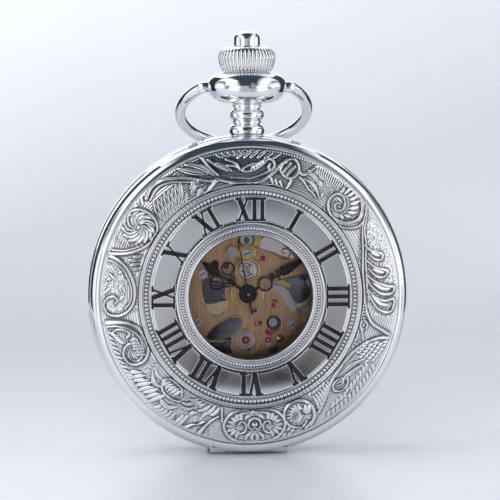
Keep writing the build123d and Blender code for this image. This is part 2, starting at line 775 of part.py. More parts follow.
with BuildPart() as plate_screw_set:
    # dial-side screws: slotted heads with short shanks
    flat_places = ((-6.6, 2.9), (6.7, -4.7), (3.8, -8.3), (-7.3, -4.2))
    with BuildSketch(at_depth(plate_front + 0.01)):
        with Locations(*flat_places):
            Circle(0.65)
    extrude(amount=0.25)
    with BuildSketch(at_depth(7.1)):
        with Locations(*flat_places):
            Circle(0.29)
    extrude(amount=plate_front + 0.02 - 7.1)
    with BuildSketch(at_depth(8.71)):
        with Locations((-0.16, 5.94), (-2.3, 6.2)):
            Circle(0.7)
    extrude(amount=0.15)
    with BuildSketch(at_depth(8.5)):
        with Locations((-0.16, 5.94)):
            Circle(0.29)
    extrude(amount=0.25)
    with BuildSketch(at_depth(7.1)):
        with Locations((-2.3, 6.2)):
            Circle(0.29)
    extrude(amount=1.65)
    with BuildSketch(at_depth(7.95)):
        with Locations(*flat_places):
            Rectangle(1.6, 0.16, rotation=35)
    extrude(amount=0.2, mode=Mode.SUBTRACT)
    with BuildSketch(at_depth(8.79)):
        with Locations((-0.16, 5.94), (-2.3, 6.2)):
            Rectangle(1.6, 0.18, rotation=20)
    extrude(amount=0.2, mode=Mode.SUBTRACT)
    with BuildSketch(at_depth(7.1)):
        with Locations((2.3, 9.9), (-2.7, 9.9)):
            Circle(0.29)
    extrude(amount=1.27)
plate_screw_set.part.label = "plate_screws"
export_step(plate_screw_set.part, "parts/plate_screws.step")

with BuildPart() as movement_screws:
    every_foot = barrel_feet + train_feet + cock_feet
    with BuildSketch(at_depth(bridge_back - 0.31)):
        with Locations(*every_foot):
            Circle(0.95)
    extrude(amount=0.3)
    with BuildSketch(at_depth(bridge_back - 0.31)):
        with Locations(*every_foot):
            Rectangle(2.2, 0.22, rotation=25)
    extrude(amount=0.14, mode=Mode.SUBTRACT)
    with BuildSketch(at_depth(bridge_back - 0.05)):
        with Locations(*every_foot):
            Circle(0.58)
    extrude(amount=plate_back - bridge_back)
    # the two screws that hold the movement ring, and the catch's pivot
    with BuildSketch(at_depth(8.2)):
        with PolarLocations(19.45, 2, start_angle=-30, angular_range=360):
            Circle(1.0)
    extrude(amount=0.35)
    with BuildSketch(at_depth(8.4)):
        with PolarLocations(19.45, 2, start_angle=-30, angular_range=360):
            Rectangle(0.3, 3)
    extrude(amount=0.3, mode=Mode.SUBTRACT)
    with BuildSketch(at_depth(6.4)):
        with PolarLocations(19.45, 2, start_angle=-30, angular_range=360):
            Circle(0.3)
    extrude(amount=1.8)
    with BuildSketch(at_depth(6.6)):
        with Locations(catch_pivot):
            Circle(0.27)
    extrude(amount=2.37)
movement_screws.part.label = "movement_screws"
export_step(movement_screws.part, "parts/movement_screws.step")

# ---- barrel group ------------------------------------------------------------------
with BuildPart() as barrel:
    with BuildSketch(about(barrel_at)):
        with BuildLine():
            Polyline(
                *turned(
                    (0.56, 4.6), (4.05, 4.6), (4.05, 5.2), (3.8, 5.2), (3.8, 4.75), (0.56, 4.75),
                ),
                close=True,
            )
        make_face()
    revolve(axis=axle(barrel_at))
barrel.part.label = "barrel"
export_step(barrel.part, "parts/barrel.step")

with BuildPart() as barrel_cover:
    # toothed cover that closes the drum and drives the train
    with BuildSketch(at_depth(5.21)):
        with Locations(barrel_at):
            Polygon(*gear(60, 4.28, 4.05), align=None)
            Circle(0.56, mode=Mode.SUBTRACT)
    extrude(amount=0.28)
barrel_cover.part.label = "barrel_cover"
export_step(barrel_cover.part, "parts/barrel_cover.step")

with BuildPart() as mainspring:
    with BuildSketch(at_depth(4.8)):
        with Locations(barrel_at):
            Polygon(*spiral(0.75, 3.65, 7, 0.14), align=None)
    extrude(amount=0.38)
mainspring.part.label = "mainspring"
export_step(mainspring.part, "parts/mainspring.step")

with BuildPart() as barrel_arbor:
    with BuildSketch(about(barrel_at)):
        with BuildLine():
            Polyline(*turned((0, 3.75), (0.5, 3.75), (0.5, 7.6), (0, 7.6)), close=True)
        make_face()
    revolve(axis=axle(barrel_at))
barrel_arbor.part.label = "barrel_arbor"
export_step(barrel_arbor.part, "parts/barrel_arbor.step")

with BuildPart() as ratchet_wheel:
    with BuildSketch(at_depth(5.6)):
        with Locations(barrel_at):
            Polygon(*saw(36, 3.08, 2.85), align=None)
            Circle(0.51, mode=Mode.SUBTRACT)
            with PolarLocations(1.7, 4):
                Circle(0.5, mode=Mode.SUBTRACT)
    extrude(amount=0.2)
ratchet_wheel.part.label = "ratchet_wheel"
export_step(ratchet_wheel.part, "parts/ratchet_wheel.step")

with BuildPart() as crown_wheel:
    with BuildSketch(at_depth(5.6)):
        with Locations(crown_wheel_at):
            Polygon(*gear(27, 2.26, 2.05), align=None)
            Circle(0.65, mode=Mode.SUBTRACT)
    extrude(amount=0.2)
crown_wheel.part.label = "crown_wheel"
export_step(crown_wheel.part, "parts/crown_wheel.step")

with BuildPart() as click:
    with BuildSketch(at_depth(5.6)):
        with Locations(click_at):
            Circle(0.75)
        with BuildLine():
            Polyline((4.9, 13.2), (2.65, 12.75), (2.75, 12.45), (4.3, 11.95), close=True)
        make_face()
        with Locations(click_at):
            Circle(0.34, mode=Mode.SUBTRACT)
    extrude(amount=0.2)
click.part.label = "click"
export_step(click.part, "parts/click.step")

with BuildPart() as click_spring:
    with BuildSketch(at_depth(5.6)):
        with BuildLine():
            Polyline(
                (5.6, 13.2), (7.4, 12.6), (8.3, 11.2), (8.9, 11.3), (7.9, 13.1), (5.65, 13.5),
                close=True,
            )
        make_face()
        with Locations((8.7, 11.0)):
            Circle(0.7)
    extrude(amount=0.2)
    with BuildSketch(at_depth(5.8)):
        with Locations((8.7, 11.0)):
            Circle(0.4)
    extrude(amount=plate_back - 5.8)
click_spring.part.label = "click_spring"
export_step(click_spring.part, "parts/click_spring.step")


# ---- going train -------------------------------------------------------------------
def wheel(place, teeth, tip, depth, thick, spokes_in=0.0, spoke_r=0.0, rim_r=0.0):
    """Sketch-and-extrude of one spoked wheel disc as its own part."""
    with BuildPart() as part:
        with BuildSketch(at_depth(depth)):
            with Locations(place):
                Polygon(*gear(teeth, tip, tip - 0.17), align=None)
                if spoke_r:
                    with PolarLocations(spokes_in, 5):
                        Circle(spoke_r, mode=Mode.SUBTRACT)
        extrude(amount=thick)
    return part


def arbor(place, *points):
    """Turned staff as its own part, outline given as (radius, depth)."""
    with BuildPart() as part:
        with BuildSketch(about(place)):
            with BuildLine():
                Polyline(*turned(*points), close=True)
            make_face()
        revolve(axis=axle(place))
    return part


with BuildPart() as intermediate_wheel:
    add(wheel(intermediate, 54, 4.17, 6.65, 0.15, 2.5, 0.95).part)
    add(wheel(intermediate, 24, 1.70, 5.15, 0.4).part)
    add(arbor(
        intermediate, (0, 3.9), (pivot_r, 3.9), (pivot_r, 4.6), (staff_r, 4.6), (staff_r, 6.85),
        (pivot_r, 6.85), (pivot_r, 7.6), (0, 7.6),
    ).part)
intermediate_wheel.part.label = "intermediate_wheel"
export_step(intermediate_wheel.part, "parts/intermediate_wheel.step")

with BuildPart() as centre_wheel:
    add(wheel(centre, 60, 3.69, 6.45, 0.15, 2.2, 0.85).part)
    add(wheel(centre, 18, 1.38, 6.6, 0.25).part)
    add(arbor(centre, (0, 6.42), (0.45, 6.42), (0.45, 9.42), (0, 9.42)).part)
    with BuildSketch(at_depth(6)):
        Circle(0.23)
    extrude(amount=4, mode=Mode.SUBTRACT)
centre_wheel.part.label = "centre_wheel"
export_step(centre_wheel.part, "parts/centre_wheel.step")

with BuildPart() as cannon_pinion:
    with BuildSketch(at_depth(7.85)):
        Polygon(*gear(12, 0.79, 0.62), align=None)
        Circle(0.455, mode=Mode.SUBTRACT)
    extrude(amount=0.2)
    with BuildSketch(at_depth(8.05)):
        Circle(0.62)
        Circle(0.455, mode=Mode.SUBTRACT)
    extrude(amount=1.35)
cannon_pinion.part.label = "cannon_pinion"
export_step(cannon_pinion.part, "parts/cannon_pinion.step")

with BuildPart() as hour_wheel:
    with BuildSketch(at_depth(8.15)):
        Polygon(*gear(40, 2.54, 2.36), align=None)
        Circle(0.68, mode=Mode.SUBTRACT)
    extrude(amount=0.2)
    with BuildSketch(at_depth(8.35)):
        Circle(0.92)
        Circle(0.68, mode=Mode.SUBTRACT)
    extrude(amount=0.75)
hour_wheel.part.label = "hour_wheel"
export_step(hour_wheel.part, "parts/hour_wheel.step")

with BuildPart() as minute_wheel:
    with BuildSketch(at_depth(7.85)):
        with Locations(minute_at):
            Polygon(*gear(36, 2.38, 2.2), align=None)
            Circle(0.34, mode=Mode.SUBTRACT)
    extrude(amount=0.2)
    with BuildSketch(at_depth(8.05)):
        with Locations(minute_at):
            Polygon(*gear(10, 0.62, 0.5), align=None)
            Circle(0.34, mode=Mode.SUBTRACT)
    extrude(amount=0.3)
minute_wheel.part.label = "minute_wheel"
export_step(minute_wheel.part, "parts/minute_wheel.step")

with BuildPart() as setting_wheel:
    with BuildSketch(at_depth(7.85)):
        with Locations(setting_at):
            Polygon(*gear(36, 2.34, 2.16), align=None)
            Circle(0.34, mode=Mode.SUBTRACT)
    extrude(amount=0.2)
setting_wheel.part.label = "setting_wheel"
export_step(setting_wheel.part, "parts/setting_wheel.step")

with BuildPart() as transfer_wheel:
    with BuildSketch(at_depth(7.85)):
        with Locations(transfer_at):
            Polygon(*gear(18, 1.2, 1.02), align=None)
            Circle(0.34, mode=Mode.SUBTRACT)
    extrude(amount=0.2)
transfer_wheel.part.label = "transfer_wheel"
export_step(transfer_wheel.part, "parts/transfer_wheel.step")

with BuildPart() as third_wheel:
    add(wheel(third_at, 60, 3.72, 6.2, 0.12, 2.2, 0.85).part)
    add(wheel(third_at, 8, 0.48, 6.4, 0.22).part)
    add(arbor(
        third_at, (0, 3.9), (pivot_r, 3.9), (pivot_r, 4.6), (0.22, 4.6), (0.22, 6.85),
        (pivot_r, 6.85), (pivot_r, 7.6), (0, 7.6),
    ).part)
third_wheel.part.label = "third_wheel"
export_step(third_wheel.part, "parts/third_wheel.step")

with BuildPart() as fourth_wheel:
    add(wheel(centre, 63, 3.90, 5.95, 0.15, 2.4, 0.9).part)
    add(wheel(centre, 8, 0.45, 6.15, 0.25).part)
    add(arbor(
        centre, (0, 3.9), (pivot_r, 3.9), (pivot_r, 4.6), (0.18, 4.6), (0.18, 9.95), (0, 9.95),
    ).part)
fourth_wheel.part.label = "fourth_wheel"
export_step(fourth_wheel.part, "parts/fourth_wheel.step")

with BuildPart() as escape_wheel:
    with BuildSketch(at_depth(5.6)):
        with Locations(escape_at):
            Polygon(*saw(15, 1.6, 1.25, 0.15), align=None)
            with PolarLocations(0.75, 4):
                Circle(0.27, mode=Mode.SUBTRACT)
    extrude(amount=0.2)
    add(wheel(escape_at, 14, 0.85, 5.9, 0.25).part)
    add(arbor(
        escape_at, (0, 3.9), (pivot_r, 3.9), (pivot_r, 4.6), (0.2, 4.6), (0.2, 6.85),
        (pivot_r, 6.85), (pivot_r, 7.6), (0, 7.6),
    ).part)
escape_wheel.part.label = "escape_wheel"
export_step(escape_wheel.part, "parts/escape_wheel.step")

# ---- lever escapement and balance ----------------------------------------------------
ux, uz = pallet_at[0] - escape_at[0], pallet_at[1] - escape_at[1]
span = sqrt(ux * ux + uz * uz)
ux, uz = ux / span, uz / span


def stone(turn, r=1.95):
    """Point beside the escape wheel, turned from the line to the pallet axis."""
    t = radians(turn)
    return (
        escape_at[0] + r * (ux * cos(t) - uz * sin(t)),
        escape_at[1] + r * (ux * sin(t) + uz * cos(t)),
    )


with BuildPart() as pallet_fork:
    with BuildSketch(at_depth(5.6)):
        with Locations(pallet_at):
            Circle(0.5)
        for side in (1, -1):
            with BuildLine():
                Polyline(
                    (pallet_at[0] - 0.35 * side * uz, pallet_at[1] + 0.35 * side * ux),
                    stone(42 * side, 2.35), stone(42 * side, 1.88), stone(30 * side, 2.05),
                    (pallet_at[0] - 0.4 * ux, pallet_at[1] - 0.4 * uz), close=True,
                )
            make_face()
        # lever towards the balance's roller, with a forked end
        with BuildLine():
            Polyline(
                (3.1, -6.75), (1.1, -6.85), (0.62, -6.72), (0.62, -6.98), (0.9, -7.04),
                (0.62, -7.10), (0.62, -7.36), (1.1, -7.2), (3.1, -7.2), close=True,
            )
        make_face()
    extrude(amount=0.22)
    with BuildSketch(at_depth(5.2)):
        with Locations(pallet_at):
            Circle(pivot_r)
    extrude(amount=2.4)
pallet_fork.part.label = "pallet_fork"
export_step(pallet_fork.part, "parts/pallet_fork.step")

with BuildPart() as balance_wheel:
    with BuildSketch(at_depth(4.9)):
        with Locations(balance_at):
            Circle(4.5)
            Circle(3.9, mode=Mode.SUBTRACT)
            Rectangle(8.2, 0.5)
            Circle(0.6)
    extrude(amount=0.3)
    with BuildSketch(about(balance_at)):
        with BuildLine():
            Polyline(
                *turned(
                    (0, 3.9), (pivot_r, 3.9), (pivot_r, 4.5), (0.3, 4.5), (0.3, 5.55),
                    (0.5, 5.55), (0.5, 5.85), (0.3, 5.85), (0.3, 6.9), (pivot_r, 6.9),
                    (pivot_r, 7.75), (0, 7.75),
                ),
                close=True,
            )
        make_face()
    revolve(axis=axle(balance_at))
balance_wheel.part.label = "balance_wheel"
export_step(balance_wheel.part, "parts/balance_wheel.step")

with BuildPart() as hairspring:
    with BuildSketch(at_depth(4.62)):
        with Locations(balance_at):
            Circle(0.54)
            Circle(0.31, mode=Mode.SUBTRACT)
            Polygon(*spiral(0.55, 2.4, 7, 0.06, 16), align=None)
    extrude(amount=0.16)
hairspring.part.label = "hairspring"
export_step(hairspring.part, "parts/hairspring.step")

# ---- keyless works ---------------------------------------------------------------------
with BuildPart() as winding_pinion:
    with BuildSketch(Plane.XY.offset(15.0)):
        with Locations((0, -stem_depth)):
            Polygon(*gear(12, 0.95, 0.78), align=None)
            Circle(0.63, mode=Mode.SUBTRACT)
    extrude(amount=1.2)
winding_pinion.part.label = "winding_pinion"
export_step(winding_pinion.part, "parts/winding_pinion.step")

with BuildPart() as sliding_clutch:
    with BuildSketch(stem_plane):
        with BuildLine():
            Polyline(
                (0.63, 13.5), (0.93, 13.5), (0.93, 13.95), (0.74, 13.95), (0.74, 14.4),
                (0.93, 14.4), (0.93, 14.85), (0.63, 14.85), close=True,
            )
        make_face()
    revolve(axis=stem_axis)
sliding_clutch.part.label = "sliding_clutch"
export_step(sliding_clutch.part, "parts/sliding_clutch.step")

with BuildPart() as setting_lever:
    with BuildSketch(at_depth(6.0)):
        with Locations(lever_at):
            Circle(0.75)
        with Locations((0.64, 16.9)):
            Circle(0.3)
        with BuildLine():
            Polyline((3.4, 17.9), (0.6, 17.18), (0.6, 16.62), (2.7, 16.9), close=True)
        make_face()
        with BuildLine():
            Polyline((2.6, 17.2), (3.9, 17.2), (3.3, 15.2), (2.9, 15.2), close=True)
        make_face()
        with Locations(lever_at):
            Circle(0.34, mode=Mode.SUBTRACT)
    extrude(amount=0.2)
    with BuildSketch(at_depth(6.2)):
        with Locations((0.64, 16.9)):
            Circle(0.15)
    extrude(amount=0.75)
setting_lever.part.label = "setting_lever"
export_step(setting_lever.part, "parts/setting_lever.step")

with BuildPart() as clutch_yoke:
    with BuildSketch(at_depth(6.0)):
        with BuildLine():
            Polyline((0.65, 14.35), (3.9, 14.75), (4.1, 14.1), (0.65, 14.0), close=True)
        make_face()
    extrude(amount=0.2)
    with BuildSketch(at_depth(6.2)):
        with Locations((0.93, 14.175)):
            Circle(0.14)
    extrude(amount=0.7)
clutch_yoke.part.label = "clutch_yoke"
export_step(clutch_yoke.part, "parts/clutch_yoke.step")


# ---- hands -------------------------------------------------------------------------------
def along(angle, *points):
    """Points given as (sideways, outward) from the centre, turned clockwise from twelve."""
    a = radians(angle)
    return [(w * cos(a) + r * sin(a), -w * sin(a) + r * cos(a)) for w, r in points]


with BuildPart() as hour_hand:
    with BuildSketch(at_depth(8.95)):
        Circle(1.36)
        with BuildLine():
            Polyline(*along(305, (-0.3, 1.0), (-0.16, 6.9), (0, 8.3), (0.16, 6.9), (0.3, 1.0)), close=True)
        make_face()
        with Locations(*along(305, (-1.0, 4.9), (1.0, 4.9))):
            Circle(1.1)
            Circle(0.75, mode=Mode.SUBTRACT)
        with BuildLine():
            Polyline(*along(305, (-0.18, 3.0), (-0.1, 7.0), (0.1, 7.0), (0.18, 3.0)), close=True)
        make_face()
        Circle(0.925, mode=Mode.SUBTRACT)
    extrude(amount=0.15)
hour_hand.part.label = "hour_hand"
export_step(hour_hand.part, "parts/hour_hand.step")

with BuildPart() as minute_hand:
    with BuildSketch(at_depth(9.2)):
        Circle(1.2)
        with BuildLine():
            Polyline(*along(58.5, (-0.3, 0.8), (-0.14, 9.0), (0, 12.6), (0.14, 9.0), (0.3, 0.8)), close=True)
        make_face()
        with Locations(*along(58.5, (-0.62, 3.0), (0.62, 3.0))):
            Circle(0.85)
            Circle(0.6, mode=Mode.SUBTRACT)
        with BuildLine():
            Polyline(*along(58.5, (-0.16, 2.0), (-0.12, 5.0), (0.12, 5.0), (0.16, 2.0)), close=True)
        make_face()
        Circle(0.625, mode=Mode.SUBTRACT)
    extrude(amount=0.14)
minute_hand.part.label = "minute_hand"
export_step(minute_hand.part, "parts/minute_hand.step")

with BuildPart() as seconds_hand:
    with BuildSketch(at_depth(9.7)):
        Circle(0.6)
        with BuildLine():
            Polyline(
                *along(-11, (-0.14, -3.0), (-0.07, 0), (-0.04, 8.3), (0.04, 8.3), (0.07, 0), (0.14, -3.0)),
                close=True,
            )
        make_face()
        Circle(0.19, mode=Mode.SUBTRACT)
    extrude(amount=0.12)
seconds_hand.part.label = "seconds_hand"
export_step(seconds_hand.part, "parts/seconds_hand.step")
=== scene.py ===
import bpy, bmesh, math
import numpy as np
from mathutils import Vector, Matrix


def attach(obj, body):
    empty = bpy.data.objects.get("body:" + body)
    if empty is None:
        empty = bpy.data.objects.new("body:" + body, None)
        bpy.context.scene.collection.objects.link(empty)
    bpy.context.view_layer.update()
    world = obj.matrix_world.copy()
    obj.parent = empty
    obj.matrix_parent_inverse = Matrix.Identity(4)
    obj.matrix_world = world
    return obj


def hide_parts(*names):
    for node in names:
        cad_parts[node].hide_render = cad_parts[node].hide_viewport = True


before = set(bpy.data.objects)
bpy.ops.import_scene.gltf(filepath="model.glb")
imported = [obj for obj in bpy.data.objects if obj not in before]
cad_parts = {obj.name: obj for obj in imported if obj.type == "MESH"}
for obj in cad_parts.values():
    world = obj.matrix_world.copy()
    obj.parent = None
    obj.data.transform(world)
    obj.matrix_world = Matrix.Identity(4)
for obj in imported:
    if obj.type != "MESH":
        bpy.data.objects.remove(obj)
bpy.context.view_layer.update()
rng = np.random.default_rng(7)

MM = 0.001
PX = 0.1478                      # mm for one unit of the ornament's layout
COLS = 1600                      # columns round the front cover
scene = bpy.context.scene


def rad(d):
    return math.radians(d)


# ------------------------------------------------------------------ materials
def mat(name):
    m = bpy.data.materials.new(name)
    m.use_nodes = True
    nt = m.node_tree
    return m, nt, nt.nodes["Principled BSDF"]


def node(nt, kind, **props):
    n = nt.nodes.new(kind)
    for k, v in props.items():
        setattr(n, k, v)
    return n


def noise(nt, scale, detail=4.0, rough=0.55, coords="Object", stretch=None):
    tc = node(nt, "ShaderNodeTexCoord")
    mp = node(nt, "ShaderNodeMapping")
    if stretch:
        mp.inputs["Scale"].default_value = stretch
    nt.links.new(tc.outputs[coords], mp.inputs["Vector"])
    n = node(nt, "ShaderNodeTexNoise")
    n.inputs["Scale"].default_value = scale
    n.inputs["Detail"].default_value = detail
    n.inputs["Roughness"].default_value = rough
    nt.links.new(mp.outputs["Vector"], n.inputs["Vector"])
    return n


def ramp(nt, src, stops, interp="LINEAR"):
    r = node(nt, "ShaderNodeValToRGB")
    r.color_ramp.interpolation = interp
    els = r.color_ramp.elements
    while len(els) > 1:
        els.remove(els[-1])
    els[0].position = stops[0][0]
    els[0].color = (*stops[0][1], 1) if len(stops[0][1]) == 3 else stops[0][1]
    for p, c in stops[1:]:
        e = els.new(p)
        e.color = (*c, 1) if len(c) == 3 else c
    nt.links.new(src, r.inputs["Fac"])
    return r


def grey(v):
    return (v, v, v)


def bump(nt, bsdf, src, strength, distance=0.00002):
    b = node(nt, "ShaderNodeBump")
    b.inputs["Strength"].default_value = strength
    b.inputs["Distance"].default_value = distance
    nt.links.new(src, b.inputs["Height"])
    nt.links.new(b.outputs["Normal"], bsdf.inputs["Normal"])
    return b


def metal(name, dark, light, rough=(0.08, 0.16), scale=900, stretch=None, bump_s=0.05, relief_shade=False, fine=4000):
    """Polished or brushed metal: slow colour drift, varied roughness and fine marks, and, when asked, painted shade
    from the relief.
    """
    m, nt, b = mat(name)
    b.inputs["Metallic"].default_value = 1.0
    n1 = noise(nt, scale * 0.25, 3, 0.5)
    c = ramp(nt, n1.outputs["Fac"], [(0.3, dark), (0.7, light)])
    colour = c.outputs["Color"]
    if relief_shade:
        # painted shade: a per-vertex relief value darkens the colour in low places and leaves high ones at full colour
        at = node(nt, "ShaderNodeAttribute", attribute_name="relief_shade")
        mx = node(nt, "ShaderNodeMix", data_type="RGBA", blend_type="MULTIPLY")
        r2 = ramp(nt, at.outputs["Fac"], [(0.0, (0.16, 0.16, 0.17)), (0.3, (0.44, 0.44, 0.455)), (0.55, (0.86, 0.86, 0.87)), (0.75, (1, 1, 1))])
        mx.inputs["Factor"].default_value = 1.0
        nt.links.new(colour, mx.inputs["A"])
        nt.links.new(r2.outputs["Color"], mx.inputs["B"])
        colour = mx.outputs["Result"]
    nt.links.new(colour, b.inputs["Base Color"])
    n2 = noise(nt, scale, 5, 0.6, stretch=stretch)
    r = ramp(nt, n2.outputs["Fac"], [(0.3, grey(rough[0])), (0.75, grey(rough[1]))])
    nt.links.new(r.outputs["Color"], b.inputs["Roughness"])
    n3 = noise(nt, fine, 3, 0.6, stretch=stretch)
    bump(nt, b, n3.outputs["Fac"], bump_s, 0.00001)
    return m


chrome = metal("polished_silver", (0.83, 0.84, 0.85), (0.90, 0.905, 0.91), (0.035, 0.09), 300, bump_s=0.02, fine=2500)
relief = metal("engraved_silver", (0.84, 0.845, 0.855), (0.92, 0.92, 0.925), (0.13, 0.24), 900, bump_s=0.12, relief_shade=True)
ring_silver = metal("numeral_ring_silver", (0.78, 0.785, 0.80), (0.86, 0.865, 0.875), (0.10, 0.16), 240, bump_s=0.03)
steel = metal("bright_steel", (0.55, 0.56, 0.58), (0.78, 0.78, 0.80), (0.16, 0.3), 900, bump_s=0.06)
dark_steel = metal("slate_steel", (0.10, 0.11, 0.14), (0.22, 0.23, 0.27), (0.22, 0.4), 700, bump_s=0.08)
spring_m = metal("blued_spring", (0.16, 0.2, 0.34), (0.3, 0.34, 0.46), (0.2, 0.3), 700, bump_s=0.05)
snail_steel = metal("snailed_steel", (0.30, 0.31, 0.34), (0.50, 0.51, 0.54), (0.2, 0.32), 700, bump_s=0.05, relief_shade=True)
gilt = metal("yellow_gilt", (0.72, 0.47, 0.16), (0.92, 0.68, 0.30), (0.2, 0.34), 600, stretch=(1, 1, 0.08), bump_s=0.25)
rose = metal("pale_gilt", (0.78, 0.55, 0.30), (0.95, 0.76, 0.50), (0.18, 0.32), 600, stretch=(1, 1, 0.08), bump_s=0.2)


def copper_plate():
    """Copper-gilt plate with vertical brushing, as the movement's plate and bridges have."""
    m, nt, b = mat("copper_plate")
    b.inputs["Metallic"].default_value = 1.0
    streak = noise(nt, 7000, 4, 0.6, stretch=(1, 1, 0.02))
    slow = noise(nt, 180, 3, 0.5)
    c1 = ramp(nt, streak.outputs["Fac"], [(0.28, (0.66, 0.36, 0.21)), (0.5, (0.84, 0.52, 0.33)), (0.72, (0.98, 0.71, 0.50))])
    c2 = ramp(nt, slow.outputs["Fac"], [(0.35, (0.80, 0.78, 0.74)), (0.7, (1.0, 1.0, 1.0))])
    mx = node(nt, "ShaderNodeMix", data_type="RGBA", blend_type="MULTIPLY")
    mx.inputs["Factor"].default_value = 1.0
    nt.links.new(c1.outputs["Color"], mx.inputs["A"])
    nt.links.new(c2.outputs["Color"], mx.inputs["B"])
    nt.links.new(mx.outputs["Result"], b.inputs["Base Color"])
    r = ramp(nt, streak.outputs["Fac"], [(0.3, grey(0.42)), (0.7, grey(0.26))])
    nt.links.new(r.outputs["Color"], b.inputs["Roughness"])
    bump(nt, b, streak.outputs["Fac"], 0.35, 0.00003)
    return m


def lacquer():
    m, nt, b = mat("black_lacquer")
    n = noise(nt, 700, 4)
    c = ramp(nt, n.outputs["Fac"], [(0.3, (0.008, 0.008, 0.010)), (0.75, (0.022, 0.022, 0.026))])
    nt.links.new(c.outputs["Color"], b.inputs["Base Color"])
    r = ramp(nt, n.outputs["Fac"], [(0.3, grey(0.22)), (0.7, grey(0.38))])
    nt.links.new(r.outputs["Color"], b.inputs["Roughness"])
    n3 = noise(nt, 5000, 3)
    bump(nt, b, n3.outputs["Fac"], 0.12, 0.00001)
    b.inputs["Specular IOR Level"].default_value = 0.22
    return m


def ruby_mat():
    m, nt, b = mat("ruby")
    n = noise(nt, 1500, 3)
    c = ramp(nt, n.outputs["Fac"], [(0.3, (0.09, 0.006, 0.02)), (0.7, (0.26, 0.015, 0.05))])
    nt.links.new(c.outputs["Color"], b.inputs["Base Color"])
    b.inputs["Roughness"].default_value = 0.08
    b.inputs["Coat Weight"].default_value = 0.6
    return m


def glass_mat():
    """Thin mineral glass: almost clear, with faint marks in its gloss."""
    m, nt, b = mat("clear_glass")
    b.inputs["Base Color"].default_value = (0.012, 0.013, 0.014, 1)
    b.inputs["IOR"].default_value = 1.45
    b.inputs["Alpha"].default_value = 0.045
    n = noise(nt, 800, 4)
    r = ramp(nt, n.outputs["Fac"], [(0.35, grey(0.01)), (0.8, grey(0.05))])
    nt.links.new(r.outputs["Color"], b.inputs["Roughness"])
    m.blend_method = "BLEND"
    return m


def dial_mat():
    m, nt, b = mat("silvered_dial")
    n = noise(nt, 2500, 5, 0.7)
    c = ramp(nt, n.outputs["Fac"], [(0.3, (0.70, 0.70, 0.69)), (0.7, (0.86, 0.86, 0.85))])
    nt.links.new(c.outputs["Color"], b.inputs["Base Color"])
    b.inputs["Metallic"].default_value = 0.6
    r = ramp(nt, n.outputs["Fac"], [(0.3, grey(0.35)), (0.7, grey(0.5))])
    nt.links.new(r.outputs["Color"], b.inputs["Roughness"])
    bump(nt, b, n.outputs["Fac"], 0.15, 0.00001)
    return m


def rubber_mat():
    m, nt, b = mat("black_seal")
    n = noise(nt, 3000, 3)
    c = ramp(nt, n.outputs["Fac"], [(0.3, (0.02, 0.02, 0.02)), (0.7, (0.05, 0.05, 0.05))])
    nt.links.new(c.outputs["Color"], b.inputs["Base Color"])
    b.inputs["Roughness"].default_value = 0.6
    return m


plate_m, black, ruby, glass, dial_m, seal_m = copper_plate(), lacquer(), ruby_mat(), glass_mat(), dial_mat(), rubber_mat()


# ------------------------------------------------------------------ mesh tools
def fast_mesh(name, verts, quads, mats, face_mat=None, smooth=True, relief_shade=None):
    """A mesh object from vertices in millimetres and an array of quads or triangles."""
    verts = np.asarray(verts, np.float32).reshape(-1, 3) * MM
    quads = np.asarray(quads, np.int32)
    n, k = quads.shape
    me = bpy.data.meshes.new(name)
    me.vertices.add(len(verts))
    me.vertices.foreach_set("co", verts.ravel())
    me.loops.add(n * k)
    me.loops.foreach_set("vertex_index", quads.ravel())
    me.polygons.add(n)
    me.polygons.foreach_set("loop_start", np.arange(0, n * k, k, dtype=np.int32))
    me.polygons.foreach_set("loop_total", np.full(n, k, np.int32))
    for m in mats:
        me.materials.append(m)
    if face_mat is not None:
        me.polygons.foreach_set("material_index", np.asarray(face_mat, np.int32))
    me.update(calc_edges=True)
    me.validate()
    if smooth:
        me.polygons.foreach_set("use_smooth", np.ones(n, bool))
    # optional per-vertex relief value, read by the shaded metals as painted shade
    if relief_shade is not None:
        a = me.attributes.new("relief_shade", "FLOAT", "POINT")
        a.data.foreach_set("value", np.asarray(relief_shade, np.float32).ravel())
    ob = bpy.data.objects.new(name, me)
    scene.collection.objects.link(ob)
    return ob


def poly_mesh(name, verts, faces, mats, smooth=False, face_mat=None):
    me = bpy.data.meshes.new(name)
    me.from_pydata([tuple(float(c) * MM for c in v) for v in verts], [], faces)
    for m in mats:
        me.materials.append(m)
    if face_mat is not None:
        for p, i in zip(me.polygons, face_mat):
            p.material_index = i
    me.update()
    ob = bpy.data.objects.new(name, me)
    scene.collection.objects.link(ob)
    if smooth:
        me.polygons.foreach_set("use_smooth", np.ones(len(me.polygons), bool))
    return ob


def outward(ob):
    bm = bmesh.new()
    bm.from_mesh(ob.data)
    bmesh.ops.recalc_face_normals(bm, faces=bm.faces)
    bm.to_mesh(ob.data)
    bm.free()
    return ob


def sharp_by_angle(ob, degrees=35):
    """Smooth shading except across steep edges, stored on the mesh itself."""
    me = ob.data
    bm = bmesh.new()
    bm.from_mesh(me)
    limit = math.radians(degrees)
    for f in bm.faces:
        f.smooth = True
    for e in bm.edges:
        if len(e.link_faces) == 2 and e.calc_face_angle(0) > limit:
            e.smooth = False
    bm.to_mesh(me)
    bm.free()
    return ob


def done(ob, body, replaces=()):
    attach(ob, body)
    if replaces:
        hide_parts(*replaces)
    return ob


